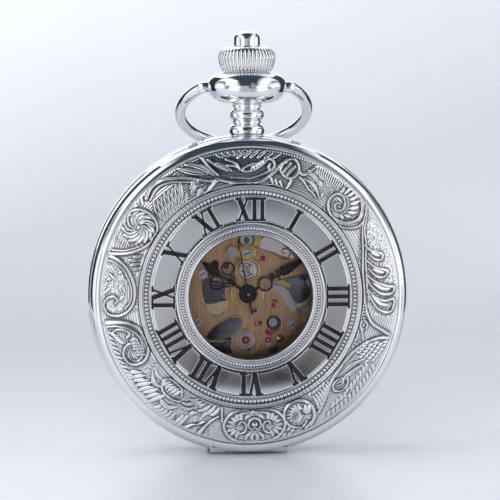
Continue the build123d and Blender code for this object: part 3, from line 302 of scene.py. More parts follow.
def curve_points(points, step=0.12):
    """Catmull-Rom through the points, sampled evenly."""
    p = np.asarray(points, float)
    if len(p) == 2:
        n = max(2, int(np.linalg.norm(p[1] - p[0]) / step))
        return p[0] + (p[1] - p[0]) * np.linspace(0, 1, n)[:, None]
    q = np.vstack([2 * p[0] - p[1], p, 2 * p[-1] - p[-2]])
    out = []
    for i in range(1, len(q) - 2):
        n = max(3, int(np.linalg.norm(q[i + 1] - q[i]) / step))
        t = np.linspace(0, 1, n, endpoint=False)[:, None]
        a, b, c, d = q[i - 1], q[i], q[i + 1], q[i + 2]
        out.append(0.5 * (2 * b + (c - a) * t + (2 * a - 5 * b + 4 * c - d) * t * t + (3 * b - a - 3 * c + d) * t ** 3))
    out.append(p[-1][None])
    return np.vstack(out)


def lathe(name, profile, mats, axis="case", place=(0, 0), segs=360, wave=None, sharp=30, step=0.18, closed=True):
    """Turned solid. profile is a list of (radius, along) lists joined at corners; each list is a smooth curve.
    axis case: along is depth in front of the back face. axis stem: along is z, about the stem at depth 6.9."""
    runs = [curve_points(run, step) for run in profile]
    pts = [runs[0]]
    for run in runs[1:]:
        pts.append(run[1:] if np.allclose(run[0], pts[-1][-1], atol=1e-6) else run)
    prof = np.vstack(pts)
    if closed and np.allclose(prof[0], prof[-1]):
        prof = prof[:-1]
    n, m = len(prof), segs
    a = np.arange(m) * 2 * math.pi / m
    r = prof[:, 0][:, None] * np.ones(m)
    if wave is not None:
        r = r + wave(prof[:, 0][:, None], prof[:, 1][:, None], a[None, :])
    along = prof[:, 1][:, None] * np.ones(m)
    if axis == "case":
        v = np.stack([place[0] + r * np.sin(a), -along, place[1] + r * np.cos(a)], -1)
    else:
        v = np.stack([r * np.sin(a), -6.9 + r * np.cos(a), along], -1)
    i, j = np.meshgrid(np.arange(n if closed else n - 1), np.arange(m), indexing="ij")
    i2, j2 = (i + 1) % n, (j + 1) % m
    q = np.stack([i * m + j, i * m + j2, i2 * m + j2, i2 * m + j], -1).reshape(-1, 4)
    ob = fast_mesh(name, v.reshape(-1, 3), q, mats)
    bm = bmesh.new()
    bm.from_mesh(ob.data)
    bmesh.ops.remove_doubles(bm, verts=bm.verts, dist=1e-7)
    bmesh.ops.dissolve_degenerate(bm, edges=bm.edges, dist=1e-8)
    bmesh.ops.recalc_face_normals(bm, faces=bm.faces)
    bm.to_mesh(ob.data)
    bm.free()
    return sharp_by_angle(ob, sharp)


def join(name, obs, mats=None):
    """Joins meshes into one object."""
    bpy.ops.object.select_all(action="DESELECT")
    for o in obs:
        o.select_set(True)
    bpy.context.view_layer.objects.active = obs[0]
    bpy.ops.object.join()
    ob = bpy.context.view_layer.objects.active
    ob.name = name
    ob.data.name = name
    return ob


# ------------------------------------------------------------------ ornament canvas
class Canvas:
    """A height field on a polar grid, drawn with strokes. Lengths in layout units (px)."""

    def __init__(self, rows_r, cols):
        self.r = np.asarray(rows_r, float)               # increasing or decreasing
        self.cols = cols
        self.a = np.arange(cols) * 2 * math.pi / cols
        self.X = self.r[:, None] * np.sin(self.a)
        self.Z = self.r[:, None] * np.cos(self.a)
        self.h = np.zeros((len(self.r), cols))
        self.mask = np.zeros((len(self.r), cols))        # where motifs cover the ground

    def window(self, pts, pad):
        rr = np.hypot(pts[:, 0], pts[:, 1])
        aa = np.unwrap(np.arctan2(pts[:, 0], pts[:, 1]))
        ap = pad / max(rr.min(), 60)
        lo = int(math.floor((aa.min() - ap) / (2 * math.pi) * self.cols))
        hi = int(math.ceil((aa.max() + ap) / (2 * math.pi) * self.cols))
        rows = np.where((self.r > rr.min() - pad) & (self.r < rr.max() + pad))[0]
        return rows, np.arange(lo, hi + 1) % self.cols

    def field(self, pts, widths, pad):
        """Smallest distance over width to the polyline, with the place along it."""
        rows, cols = self.window(pts, pad)
        if len(rows) == 0 or len(cols) == 0:
            return None
        X, Z = self.X[np.ix_(rows, cols)], self.Z[np.ix_(rows, cols)]
        best = np.full(X.shape, 9.0)
        where = np.zeros(X.shape)
        side = np.zeros(X.shape)
        n = len(pts) - 1
        for i in range(n):
            ax, az = pts[i]
            bx, bz = pts[i + 1]
            dx, dz = bx - ax, bz - az
            ll = dx * dx + dz * dz
            if ll < 1e-9:
                continue
            t = np.clip(((X - ax) * dx + (Z - az) * dz) / ll, 0, 1)
            w = widths[i] + (widths[i + 1] - widths[i]) * t
            ex, ez = X - ax - dx * t, Z - az - dz * t
            q = np.hypot(ex, ez) / w
            better = q < best
            best = np.where(better, q, best)
            where = np.where(better, (i + t) / n, where)
            side = np.where(better, (dx * (Z - az) - dz * (X - ax)), side)
        return rows, cols, best, where, side

    def raise_(self, pts, widths, h, shape="round", over=True, power=2.0):
        pts = np.asarray(pts, float)
        widths = np.asarray(widths, float)
        if widths.size == 1:
            widths = np.full(len(pts), float(widths))
        got = self.field(pts, widths, float(widths.max()) + 0.5)
        if got is None:
            return
        rows, cols, q, where, side = got
        ix = np.ix_(rows, cols)
        inside = q < 1
        w_mean = float(np.mean(widths))
        if shape == "round":
            v = h * np.sqrt(np.clip(1 - q ** power, 0, 1))
        elif shape == "ridge":
            v = h * np.clip(1 - q, 0, 1)
        elif shape == "leaf":
            # raised edges with a channel along the middle
            v = h * (np.clip(1 - q, 0, 1) ** 0.5) * (0.45 + 0.55 * np.clip(q * 1.8, 0, 1))
        elif shape == "dish":
            v = h * np.where(q < 0.62, 0.25, 1.0) * np.clip((1 - q) * 4, 0, 1)
        if over:
            # a narrow cut round each stroke sets it off from what it lies on
            gap = np.clip(1 - np.abs((q - 1) * w_mean - 0.30) / 0.55, 0, 1)
            self.h[ix] = np.where(inside, self.h[ix], self.h[ix] - np.minimum(0.10, self.h[ix] * 0.5 + 0.05) * gap)
            self.h[ix] = np.where(inside, np.maximum(v, self.h[ix] * 0.35), self.h[ix])
        else:
            self.h[ix] = np.where(inside, self.h[ix] + v, self.h[ix])
        self.mask[ix] = np.maximum(self.mask[ix], np.clip((1.25 - q) * 4, 0, 1))

    def groove(self, pts, w, depth):
        pts = np.asarray(pts, float)
        widths = np.full(len(pts), float(w)) if np.isscalar(w) else np.asarray(w, float)
        got = self.field(pts, widths, float(widths.max()) + 0.5)
        if got is None:
            return
        rows, cols, q, where, side = got
        ix = np.ix_(rows, cols)
        self.h[ix] -= depth * np.clip(1 - q * q, 0, 1)


def taper(n, w0, w1, swell=None, at=0.4):
    """Widths along a stroke, from w0 to w1, with an optional swelling."""
    t = np.linspace(0, 1, n)
    w = w0 + (w1 - w0) * t
    if swell:
        w = w + swell * np.exp(-((t - at) / 0.28) ** 2)
    return np.clip(w, 0.18, None)


def pol(a, r):
    return (r * math.sin(rad(a)), r * math.cos(rad(a)))


def loc(a0, r0, u, v):
    """Point at u clockwise and v outward from the place (a0, r0)."""
    s, c = math.sin(rad(a0)), math.cos(rad(a0))
    return ((r0 + v) * s + u * c, (r0 + v) * c - u * s)


def path_polar(points, step=1.2):
    """Smooth curve through (angle, radius) points."""
    ang = [(rad(a) * 128.0, r) for a, r in points]
    c = curve_points(ang, step)
    return np.array([((r) * math.sin(u / 128.0), (r) * math.cos(u / 128.0)) for u, r in c])


def path_local(a0, r0, points, step=1.0):
    c = curve_points(points, step)
    return np.array([loc(a0, r0, u, v) for u, v in c])


def volute(cv, a0, r0, R, turns=1.6, cw=1, start=90, w=1.8, h=0.24, eye=True, inner=0.22):
    """A scroll that winds in to an eye. start is its outer end, in degrees from u towards v."""
    n = int(26 * turns) + 6
    t = np.linspace(0, 1, n)
    rr = R * (1 - t) ** 0.85 + R * inner * t
    th = np.radians(start) - cw * t * turns * 2 * math.pi
    pts = np.array([loc(a0, r0, r * math.cos(x), r * math.sin(x)) for r, x in zip(rr, th)])
    cv.raise_(pts, taper(n, w, w * 0.55), h, "round")
    cv.groove(pts[: int(n * 0.8)], w * 0.22, h * 0.35)
    if eye:
        e = np.array([loc(a0, r0, -0.1, 0), loc(a0, r0, 0.1, 0)])
        cv.raise_(e, [R * 0.24, R * 0.24], h * 1.1, "round")


def leaf(cv, a0, r0, ang, length, width, bend=0.0, h=0.2, vein=True, shape="leaf"):
    """A pointed leaf from a place, at an angle in degrees from u towards v, bending as it goes."""
    n = max(6, int(length / 1.2))
    t = np.linspace(0, 1, n)
    th = np.radians(ang) + np.radians(bend) * (t - 0.0)
    d = np.stack([np.cos(th), np.sin(th)], -1) * length / (n - 1)
    p = np.vstack([[0, 0], np.cumsum(d[:-1], 0)])
    pts = np.array([loc(a0, r0, u, v) for u, v in p])
    w = width * np.sin(np.clip(t * 0.92 + 0.08, 0, 1) * math.pi) ** 0.7 + 0.25
    cv.raise_(pts, w, h, shape)
    if vein:
        cv.groove(pts[1:-1], 0.35, h * 0.5)


def fan(cv, a0, r0, count, ang0, ang1, length, width, h=0.16, bend=0.0, grow=0.0):
    for i in range(count):
        f = i / max(1, count - 1)
        leaf(cv, a0, r0, ang0 + (ang1 - ang0) * f, length * (1 + grow * math.sin(f * math.pi)), width, bend, h, vein=width > 1.2)


def frond(cv, points, w, lobes, size, side=1, h=0.2, lean=50, polar=True, both=False, a0=0, r0=0):
    """A stem with lobes along one side or both, as on an acanthus scroll."""
    pts = path_polar(points) if polar else path_local(a0, r0, points)
    n = len(pts)
    cv.raise_(pts, taper(n, w, w * 0.45), h, "round")
    for k in range(lobes):
        f = (k + 0.6) / lobes
        i = min(n - 2, int(f * (n - 1)))
        d = pts[i + 1] - pts[i]
        d = d / (np.linalg.norm(d) + 1e-9)
        for s in ((side, -side) if both else (side,)):
            c, sn = math.cos(rad(lean * s)), math.sin(rad(lean * s))
            dd = np.array([d[0] * c - d[1] * sn, d[0] * sn + d[1] * c])
            L = size * (0.75 + 0.5 * math.sin(f * math.pi))
            m = 7
            tt = np.linspace(0, 1, m)
            th = tt * rad(-28 * s)
            step = np.stack([dd[0] * np.cos(th) - dd[1] * np.sin(th), dd[0] * np.sin(th) + dd[1] * np.cos(th)], -1)
            q = pts[i] + np.vstack([[0, 0], np.cumsum(step[:-1] * L / (m - 1), 0)])
            ww = 0.30 * size * np.sin(np.clip(tt * 0.85 + 0.15, 0, 1) * math.pi) ** 0.6 + 0.2
            cv.raise_(q, ww, h * 0.9, "leaf")


def beads_along(cv, points, count, size, h=0.16, polar=True):
    pts = path_polar(points) if polar else np.asarray(points)
    for k in range(count):
        i = int(k / max(1, count - 1) * (len(pts) - 2))
        p = pts[i]
        cv.raise_(np.array([p, p + 0.05]), [size, size], h, "round")


def ornament(cv):
    """The scrollwork of the cover's band, clockwise from twelve o'clock, laid out on four quarter sheets:
    x runs round the band at 15.6 per degree, y inwards from 105 at its outer edge to 285 at its inner one."""
    START = (-6.5, 83.5, 173.3, 263.3)

    def P(k, *pts):
        return path_polar([(START[k] + x / 15.6, 103.5 + (312 - y) / 4.7) for x, y in pts], 1.0)

    def S(k, w0, w1, *pts, h=0.26, sw=None, at=0.45, sh="round", line=False):
        p = P(k, *pts)
        cv.raise_(p, taper(len(p), w0, w1, sw, at), h, sh)
        if line and len(p) > 6:
            cv.groove(p[2:-2], 0.45, h * 0.4)

    def L(k, w, *pts, h=0.24):
        """Leaf: pointed at both ends, with a channel."""
        p = P(k, *pts)
        t = np.linspace(0, 1, len(p))
        cv.raise_(p, w * np.sin(np.clip(t * 0.9 + 0.08, 0, 1) * math.pi) ** 0.7 + 0.3, h, "leaf")

    def B(k, size, count, *pts, h=0.18):
        p = P(k, *pts)
        for q in range(count):
            c = p[int(q / max(1, count - 1) * (len(p) - 1))]
            cv.raise_(np.array([c, c + 0.05]), [size, size], h)

    # ---- first quarter
    S(0, 1.0, 2.0, (-60, 262), (10, 268), (80, 274), (160, 264), (220, 242), (270, 206), (300, 178), (332, 150), line=True)
    S(0, 0.7, 1.3, (-40, 238), (30, 244), (100, 247), (180, 228), (232, 208))
    S(0, 1.0, 1.4, (-60, 180), (0, 190), (60, 216), (130, 207), (180, 180), (215, 155), (250, 160), (264, 182), (248, 202), (226, 194), (232, 178))
    for x, y in ((112, 196), (134, 190), (156, 182), (176, 172), (194, 160)):
        L(0, 1.5, (x, y + 16), (x + 8, y - 2), (x + 24, y - 16))
    for x in (20, 62, 104, 150, 196, 240):
        L(0, 1.2, (x, 152), (x + 22, 136), (x + 46, 126), h=0.18)
    for x in (0, 40, 84, 128, 172):
        L(0, 0.9, (x, 128), (x + 16, 118), (x + 36, 114), h=0.14)
    S(0, 1.3, 1.3, (308, 196), (326, 152), (376, 130), (422, 154), (428, 190), (392, 220), (340, 216), (308, 196), h=0.26)
    S(0, 1.5, 1.5, (334, 200), (350, 176), (366, 154), h=0.32)
    S(0, 1.5, 1.5, (362, 208), (380, 184), (398, 162), h=0.32)
    for a, b in (((252, 240), (276, 272)), ((286, 244), (312, 274)), ((322, 246), (350, 276)), ((402, 226), (382, 276))):
        S(0, 1.5, 0.9, a, ((a[0] + b[0]) / 2 + 4, (a[1] + b[1]) / 2), b, h=0.24)
    S(0, 0.9, 0.9, (246, 272), (300, 266), (356, 280), (398, 278))
    S(0, 1.6, 1.2, (432, 178), (470, 182), (500, 152), (526, 120), h=0.28)
    S(0, 1.2, 0.8, (452, 200), (498, 214), (540, 232), (590, 240), (626, 250), h=0.26)
    L(0, 1.9, (462, 176), (500, 166), (548, 170), (600, 190))
    L(0, 1.7, (486, 198), (540, 200), (590, 214), (640, 240))
    L(0, 1.5, (560, 176), (604, 180), (640, 204), (654, 232))
    for q in range(14):
        x = 534 + 15 * q
        L(0, 0.85, (x, 112), (x + 6, 134), (x + 20 - q, 152 + 1.5 * q), h=0.15)
    for q in range(7):
        L(0, 0.9, (616 + 13 * q, 160 + 3 * q), (620 + 12 * q, 190), (640 + 8 * q, 214), h=0.13)
    # big volute
    S(0, 2.2, 0.9, (868, 108), (930, 146), (950, 196), (908, 246), (826, 270), (752, 256), (712, 216), (724, 178), (768, 166), (814, 182), (828, 212), (802, 234), (772, 226), (768, 206), (792, 200), h=0.34, line=True)
    S(0, 1.5, 1.0, (914, 108), (976, 156), (990, 208), (938, 258), (858, 284), (778, 285), (718, 266), h=0.26)
    S(0, 0.8, 0.8, (894, 112), (954, 160), (968, 206), (920, 252), (856, 272), h=0.2)
    for q, (x, y, u, v) in enumerate(((742, 158, 738, 122), (766, 150, 768, 114), (792, 148, 802, 112), (818, 154, 836, 114), (840, 166, 868, 124), (858, 182, 892, 146), (868, 200, 908, 174), (866, 220, 904, 206), (848, 236, 878, 238))):
        L(0, 1.7, (x, y), ((x + u) / 2 + 5, (y + v) / 2), (u, v), h=0.26)
    B(0, 0.7, 8, (718, 160), (728, 136), (748, 116))
    # stem and hooked leaves over the stippled field
    S(0, 0.9, 1.6, (936, 122), (1000, 178), (1080, 212), (1160, 234), (1250, 254), (1350, 268), (1460, 270), (1560, 266), (1650, 246), (1714, 206), (1756, 110), h=0.28)
    S(0, 0.9, 1.0, (960, 134), (1040, 186), (1130, 208), (1230, 236), (1340, 250), (1440, 254), (1540, 246), h=0.22)
    B(0, 0.75, 15, (1004, 196), (1060, 222), (1120, 244), (1190, 262), (1260, 272))
    for pts in (((1130, 216), (1180, 202), (1212, 172), (1238, 152), (1264, 166), (1250, 194), (1200, 214)),
                ((1240, 234), (1304, 204), (1332, 168), (1352, 146), (1380, 172), (1366, 206), (1300, 236)),
                ((1338, 250), (1400, 216), (1444, 162), (1456, 122), (1494, 142), (1490, 192), (1430, 236), (1370, 250)),
                ((1450, 256), (1510, 222), (1540, 174), (1530, 126), (1594, 130), (1616, 162), (1590, 206), (1520, 240), (1470, 256))):
        S(0, 0.9, 0.9, *pts, h=0.28, sw=0.7, at=0.5)
    for pts in (((1196, 200), (1222, 180), (1240, 166)), ((1312, 214), (1340, 186), (1354, 164)), ((1414, 222), (1456, 182), (1466, 142)), ((1500, 236), (1556, 194), (1572, 146))):
        L(0, 1.5, *pts, h=0.2)
    # ---- second quarter
    for q, (x, y) in enumerate(((176, 270), (200, 268), (222, 266), (246, 262), (272, 262), (452, 248), (484, 260), (514, 266))):
        for g in range(4):
            c = P(1, (x, y), (x + 1, y))[0]
            a = g * 90 + q * 25
            cv.raise_(np.array([c, c + 1.5 * np.array([math.cos(rad(a)), math.sin(rad(a))])]), [0.9, 0.5], 0.2)
    S(1, 1.0, 1.0, (290, 256), (312, 238), (342, 240), (358, 258), (330, 270), (298, 266), h=0.22)
    S(1, 1.0, 0.8, (366, 258), (400, 246), (440, 234), h=0.22)
    S(1, 1.0, 0.8, (380, 272), (430, 266), (460, 268), h=0.2)
    S(1, 1.7, 1.5, (368, 112), (384, 162), (424, 204), (480, 234), (566, 256), (664, 264), (800, 256), (884, 234), (964, 198), (1060, 158), (1150, 126), h=0.32, line=True)
    S(1, 0.8, 0.8, (420, 112), (462, 132), (520, 146), (566, 160), (640, 162), (724, 158), (800, 146), (900, 142), (990, 140), h=0.2)
    for r_ in range(5):
        for q in range(6):
            x, y = 396 + 27 * q + 13 * (r_ % 2) + 12 * r_, 128 + 22 * r_ + 5 * q
            if y < 232:
                L(1, 1.35, (x - 6, y - 8), (x + 4, y), (x + 8, y + 12), h=0.2)
    for q in range(13):
        x = 560 + 34 * q
        L(1, 1.4, (x, 142), (x + 12, 132), (x + 30, 122), h=0.2)
        if q < 11:
            L(1, 1.5, (x + 10, 176 - (q > 6) * 10), (x + 28, 164 - (q > 6) * 8), (x + 50, 158 - (q > 6) * 6), h=0.22)
    L(1, 2.2, (560, 196), (624, 224), (700, 236), (740, 244))
    L(1, 2.0, (600, 186), (666, 206), (740, 214), (800, 222))
    S(1, 1.2, 1.0, (726, 208), (760, 186), (814, 184), (856, 206), (840, 232), (790, 236), (752, 222), (782, 206), (812, 212), h=0.26)
    for q in range(7):
        L(1, 1.3, (850 + 26 * q, 262 - 3 * q), (862 + 24 * q, 244 - 5 * q), (884 + 22 * q, 226 - 8 * q), h=0.22)
    for q in range(5):
        L(1, 1.2, (872 + 30 * q, 280), (888 + 30 * q, 268), (912 + 30 * q, 262), h=0.18)
    B(1, 0.8, 8, (1024, 254), (1030, 214), (1044, 176), (1064, 156))
    # shell volute
    S(1, 1.9, 1.2, (1110, 132), (1060, 168), (1056, 222), (1104, 262), (1184, 268), (1248, 242), (1264, 198), (1230, 158), (1166, 140), (1124, 158), h=0.3)
    cv.raise_(P(1, (1084, 214), (1094, 206)), np.linspace(4.4, 4.4, len(P(1, (1084, 214), (1094, 206)))), 0.34)
    for q in range(9):
        a = rad(-70 + 22 * q)
        L(1, 1.6, (1128 + 26 * math.cos(a), 206 + 16 * math.sin(a)), (1150 + 44 * math.cos(a), 206 + 28 * math.sin(a)), (1158 + 82 * math.cos(a), 206 + 46 * math.sin(a)), h=0.26)
    for x, y in ((1226, 136), (1252, 122), (1282, 128), (1274, 152), (1244, 152)):
        L(1, 1.5, (x, y + 8), (x + 8, y), (x + 20, y - 6), h=0.24)
    # ---- medallion at the foot, the same to both sides of x = 76 on the third sheet
    for s in (1, -1):
        M = lambda *pts: [(76 + s * u, v) for u, v in pts]
        S(2, 1.5, 1.2, *M((30, 112), (96, 116), (164, 136), (210, 182), (196, 230), (138, 262), (60, 274), (0, 276)), h=0.28, line=True)
        S(2, 1.7, 0.9, *M((0, 262), (66, 258), (124, 240), (160, 208), (150, 170), (104, 154), (62, 170), (64, 204), (96, 214), (112, 196)), h=0.32)
        for q in range(8):
            a = rad(-78 + 24 * q)
            L(2, 1.7, *M((96 + 48 * math.cos(a), 194 + 30 * math.sin(a)), (100 + 66 * math.cos(a), 192 + 42 * math.sin(a)), (102 + 90 * math.cos(a), 190 + 60 * math.sin(a))), h=0.26)
        S(2, 1.4, 0.8, *M((6, 232), (34, 222), (44, 196), (22, 178), (4, 186)), h=0.3)
        L(2, 1.6, *M((10, 250), (40, 244), (70, 228)))
        L(2, 1.5, *M((4, 160), (20, 140), (12, 122)))
        L(2, 1.4, *M((26, 162), (52, 142), (54, 124)))
    cv.raise_(P(2, (70, 202), (82, 202)), np.full(len(P(2, (70, 202), (82, 202))), 2.4), 0.36)
    B(2, 0.8, 11, (-36, 124), (20, 116), (76, 112), (132, 116), (188, 124))
    # ---- third quarter
    S(2, 2.0, 0.8, (424, 112), (404, 160), (376, 196), (340, 222), h=0.3)
    S(2, 1.7, 0.8, (520, 112), (486, 142), (446, 160), (420, 180), h=0.28)
    S(2, 1.2, 1.0, (306, 202), (318, 232), (334, 266), h=0.24)
    for pts in (((352, 262), (372, 232), (398, 216)), ((384, 266), (410, 232), (436, 214), (452, 186)), ((424, 262), (452, 234), (490, 214)), ((462, 262), (492, 240), (520, 226)),
                ((556, 116), (548, 146), (536, 176)), ((530, 182), (512, 200), (490, 206)), ((580, 116), (572, 140), (566, 166)), ((500, 262), (524, 244), (552, 236)), ((532, 264), (556, 250), (588, 246)),
                ((540, 212), (568, 200), (606, 196)), ((556, 234), (584, 220), (622, 214))):
        L(2, 1.9, *pts, h=0.28)
    for q in range(5):
        L(2, 1.6, (618 + 26 * q, 150), (622 + 26 * q, 130), (634 + 28 * q, 112), h=0.24)
    L(2, 2.4, (636, 182), (676, 160), (724, 158), (762, 172), h=0.28)
    S(2, 1.6, 1.0, (640, 212), (700, 198), (776, 200), (824, 232), (802, 266), (736, 274), (680, 264), (650, 236), h=0.3)
    for q in range(5):
        L(2, 1.7, (676 + 28 * q, 258), (690 + 28 * q, 238), (700 + 26 * q, 218), h=0.26)
    for q in range(8):
        x = 760 + 32 * q
        L(2, 1.9, (x - 12, 192 - (q % 2) * 8), (x + 8, 162), (x + 34, 118 + (q % 3) * 6), h=0.26)
    L(2, 1.9, (806, 210), (864, 200), (930, 228))
    L(2, 1.5, (838, 236), (890, 232), (940, 246))
    for q in range(10):
        L(2, 1.1, (980 + 32 * q, 144 - (q % 2) * 6), (992 + 32 * q, 130), (1012 + 32 * q, 118), h=0.18)
    # volute inside its double curve
    S(2, 2.2, 1.0, (1350, 106), (1346, 166), (1322, 222), (1262, 260), (1180, 276), (1092, 266), (1036, 232), (1030, 192), (1064, 158), (1124, 150), (1172, 174), (1180, 206), (1150, 216), (1136, 200), h=0.34, line=True)
    S(2, 0.9, 0.9, (1326, 108), (1320, 160), (1292, 206), (1240, 240), (1176, 252), (1110, 246), h=0.22)
    S(2, 1.0, 0.7, (1064, 226), (1050, 200), (1078, 176), (1114, 170), (1142, 188), h=0.2)
    S(2, 1.5, 0.9, (1228, 196), (1252, 212), (1284, 194), (1296, 158), (1280, 136), h=0.26)
    for q in range(6):
        L(2, 1.5, (1070 + 24 * q, 246 - abs(q - 2) * 3), (1084 + 24 * q, 228), (1092 + 22 * q, 206), h=0.24)
    for q in range(4):
        L(2, 1.4, (1200 + 20 * q, 176 - 8 * q), (1216 + 20 * q, 160 - 8 * q), (1236 + 20 * q, 150 - 8 * q), h=0.22)
    # comma spiral and the field inside a double line
    S(2, 1.9, 1.0, (1768, 104), (1756, 162), (1716, 206), (1646, 242), (1556, 260), (1466, 252), (1408, 222), (1386, 180), (1408, 134), (1462, 118), (1504, 138), (1514, 168), (1488, 182), (1466, 168), h=0.32, line=True)
    S(2, 0.9, 0.9, (1740, 108), (1730, 160), (1694, 200), (1624, 232), (1546, 246), (1474, 238), (1430, 214), h=0.22)
    for pts in (((120, 112), (146, 132), (172, 152)), ((212, 128), (230, 146), (248, 164)), ((226, 166), (244, 148), (262, 128)), ((146, 214), (176, 204), (204, 198)), ((150, 196), (172, 190), (190, 200)), ((88, 190), (104, 200), (118, 214)), ((268, 176), (282, 186), (292, 172)), ((176, 118), (190, 130), (206, 126))):
        L(3, 1.2, *pts, h=0.2)
    B(3, 0.7, 12, (60, 268), (150, 276), (236, 264), (300, 240), (344, 206))
    for pts in (((340, 222), (356, 240), (372, 262)), ((372, 206), (384, 232), (402, 258)), ((404, 224), (420, 246), (440, 264)), ((316, 244), (330, 256), (342, 272))):
        L(3, 1.5, *pts, h=0.24)
    S(3, 1.9, 1.3, (372, 106), (392, 160), (430, 208), (482, 244), (548, 268), (620, 276), h=0.3)
    S(3, 1.0, 0.9, (398, 110), (420, 168), (462, 212), (512, 242), h=0.22)
    B(3, 1.1, 9, (470, 112), (456, 146), (470, 190), (500, 224), (536, 246), h=0.24)
    # whirl rosette
    for q in range(13):
        a = rad(q * 27.7)
        pts = []
        for f in (0.12, 0.35, 0.6, 0.82, 1.0):
            b = a + f * 1.35
            pts.append((606 + 112 * f * math.cos(b), 186 + 76 * f * math.sin(b)))
        L(3, 2.4, *pts, h=0.3)
    S(3, 1.8, 1.0, (494, 112), (560, 102), (640, 110), (704, 142), (726, 190), (704, 240), (648, 268), (576, 266), h=0.28)
    cv.raise_(P(3, (600, 186), (612, 186)), np.full(len(P(3, (600, 186), (612, 186))), 1.8), 0.36)
    for pts in (((690, 108), (706, 120), (726, 128)), ((744, 108), (736, 122), (732, 136)), ((770, 116), (752, 130), (742, 144))):
        L(3, 1.3, *pts, h=0.22)
    for q in range(8):
        x = 752 + 31 * q
        L(3, 2.1, (x, 244 - 3 * (q % 2)), (x + 22, 208), (x + 48, 170 + 4 * (q % 3)), h=0.28)
        L(3, 1.3, (x + 8, 262), (x + 26, 246), (x + 44, 232), h=0.2)
    S(3, 2.0, 1.4, (784, 134), (860, 114), (944, 124), (1014, 150), (1092, 184), (1180, 220), (1240, 236), h=0.32, line=True)
    S(3, 1.2, 1.0, (796, 152), (880, 136), (964, 150), (1046, 184), (1120, 212), h=0.24)
    L(3, 2.6, (1050, 116), (1104, 152), (1160, 178), (1210, 192), h=0.3)
    L(3, 2.3, (1104, 118), (1160, 142), (1216, 180), (1250, 208), h=0.28)
    S(3, 1.5, 0.9, (1206, 110), (1232, 166), (1274, 212), h=0.28)
    S(3, 1.4, 0.8, (1240, 134), (1290, 176), (1344, 202), h=0.26)
    L(3, 1.8, (1286, 160), (1330, 184), (1372, 206))
    for q in range(5):
        L(3, 1.2, (1300 + 36 * q, 122), (1316 + 36 * q, 130), (1336 + 36 * q, 140), h=0.16)
    for pts in (((1046, 246), (1088, 226), (1140, 230)), ((1078, 268), (1120, 250), (1160, 244)), ((1060, 222), (1100, 206), (1130, 208))):
        L(3, 1.7, *pts, h=0.24)
    S(3, 1.9, 1.5, (1146, 278), (1208, 252), (1264, 234), (1332, 250), (1404, 266), (1480, 272), h=0.3)
    S(3, 1.2, 1.0, (1352, 152), (1410, 176), (1436, 206), (1476, 194), (1530, 180), h=0.26)


# ------------------------------------------------------------------ front cover
def band_depth(r):
    """Depth of the engraved band's ground at a radius."""
    q = np.clip((21.55 - r) / 4.95, 0, 1)
    return 12.35 + 1.5 * (1 - (1 - q) ** 1.75)


def ring_depth(r):
    """Depth of the numeral ring, slightly crowned outwards."""
    return 14.12 - 0.006 * (r - 10.2) ** 2


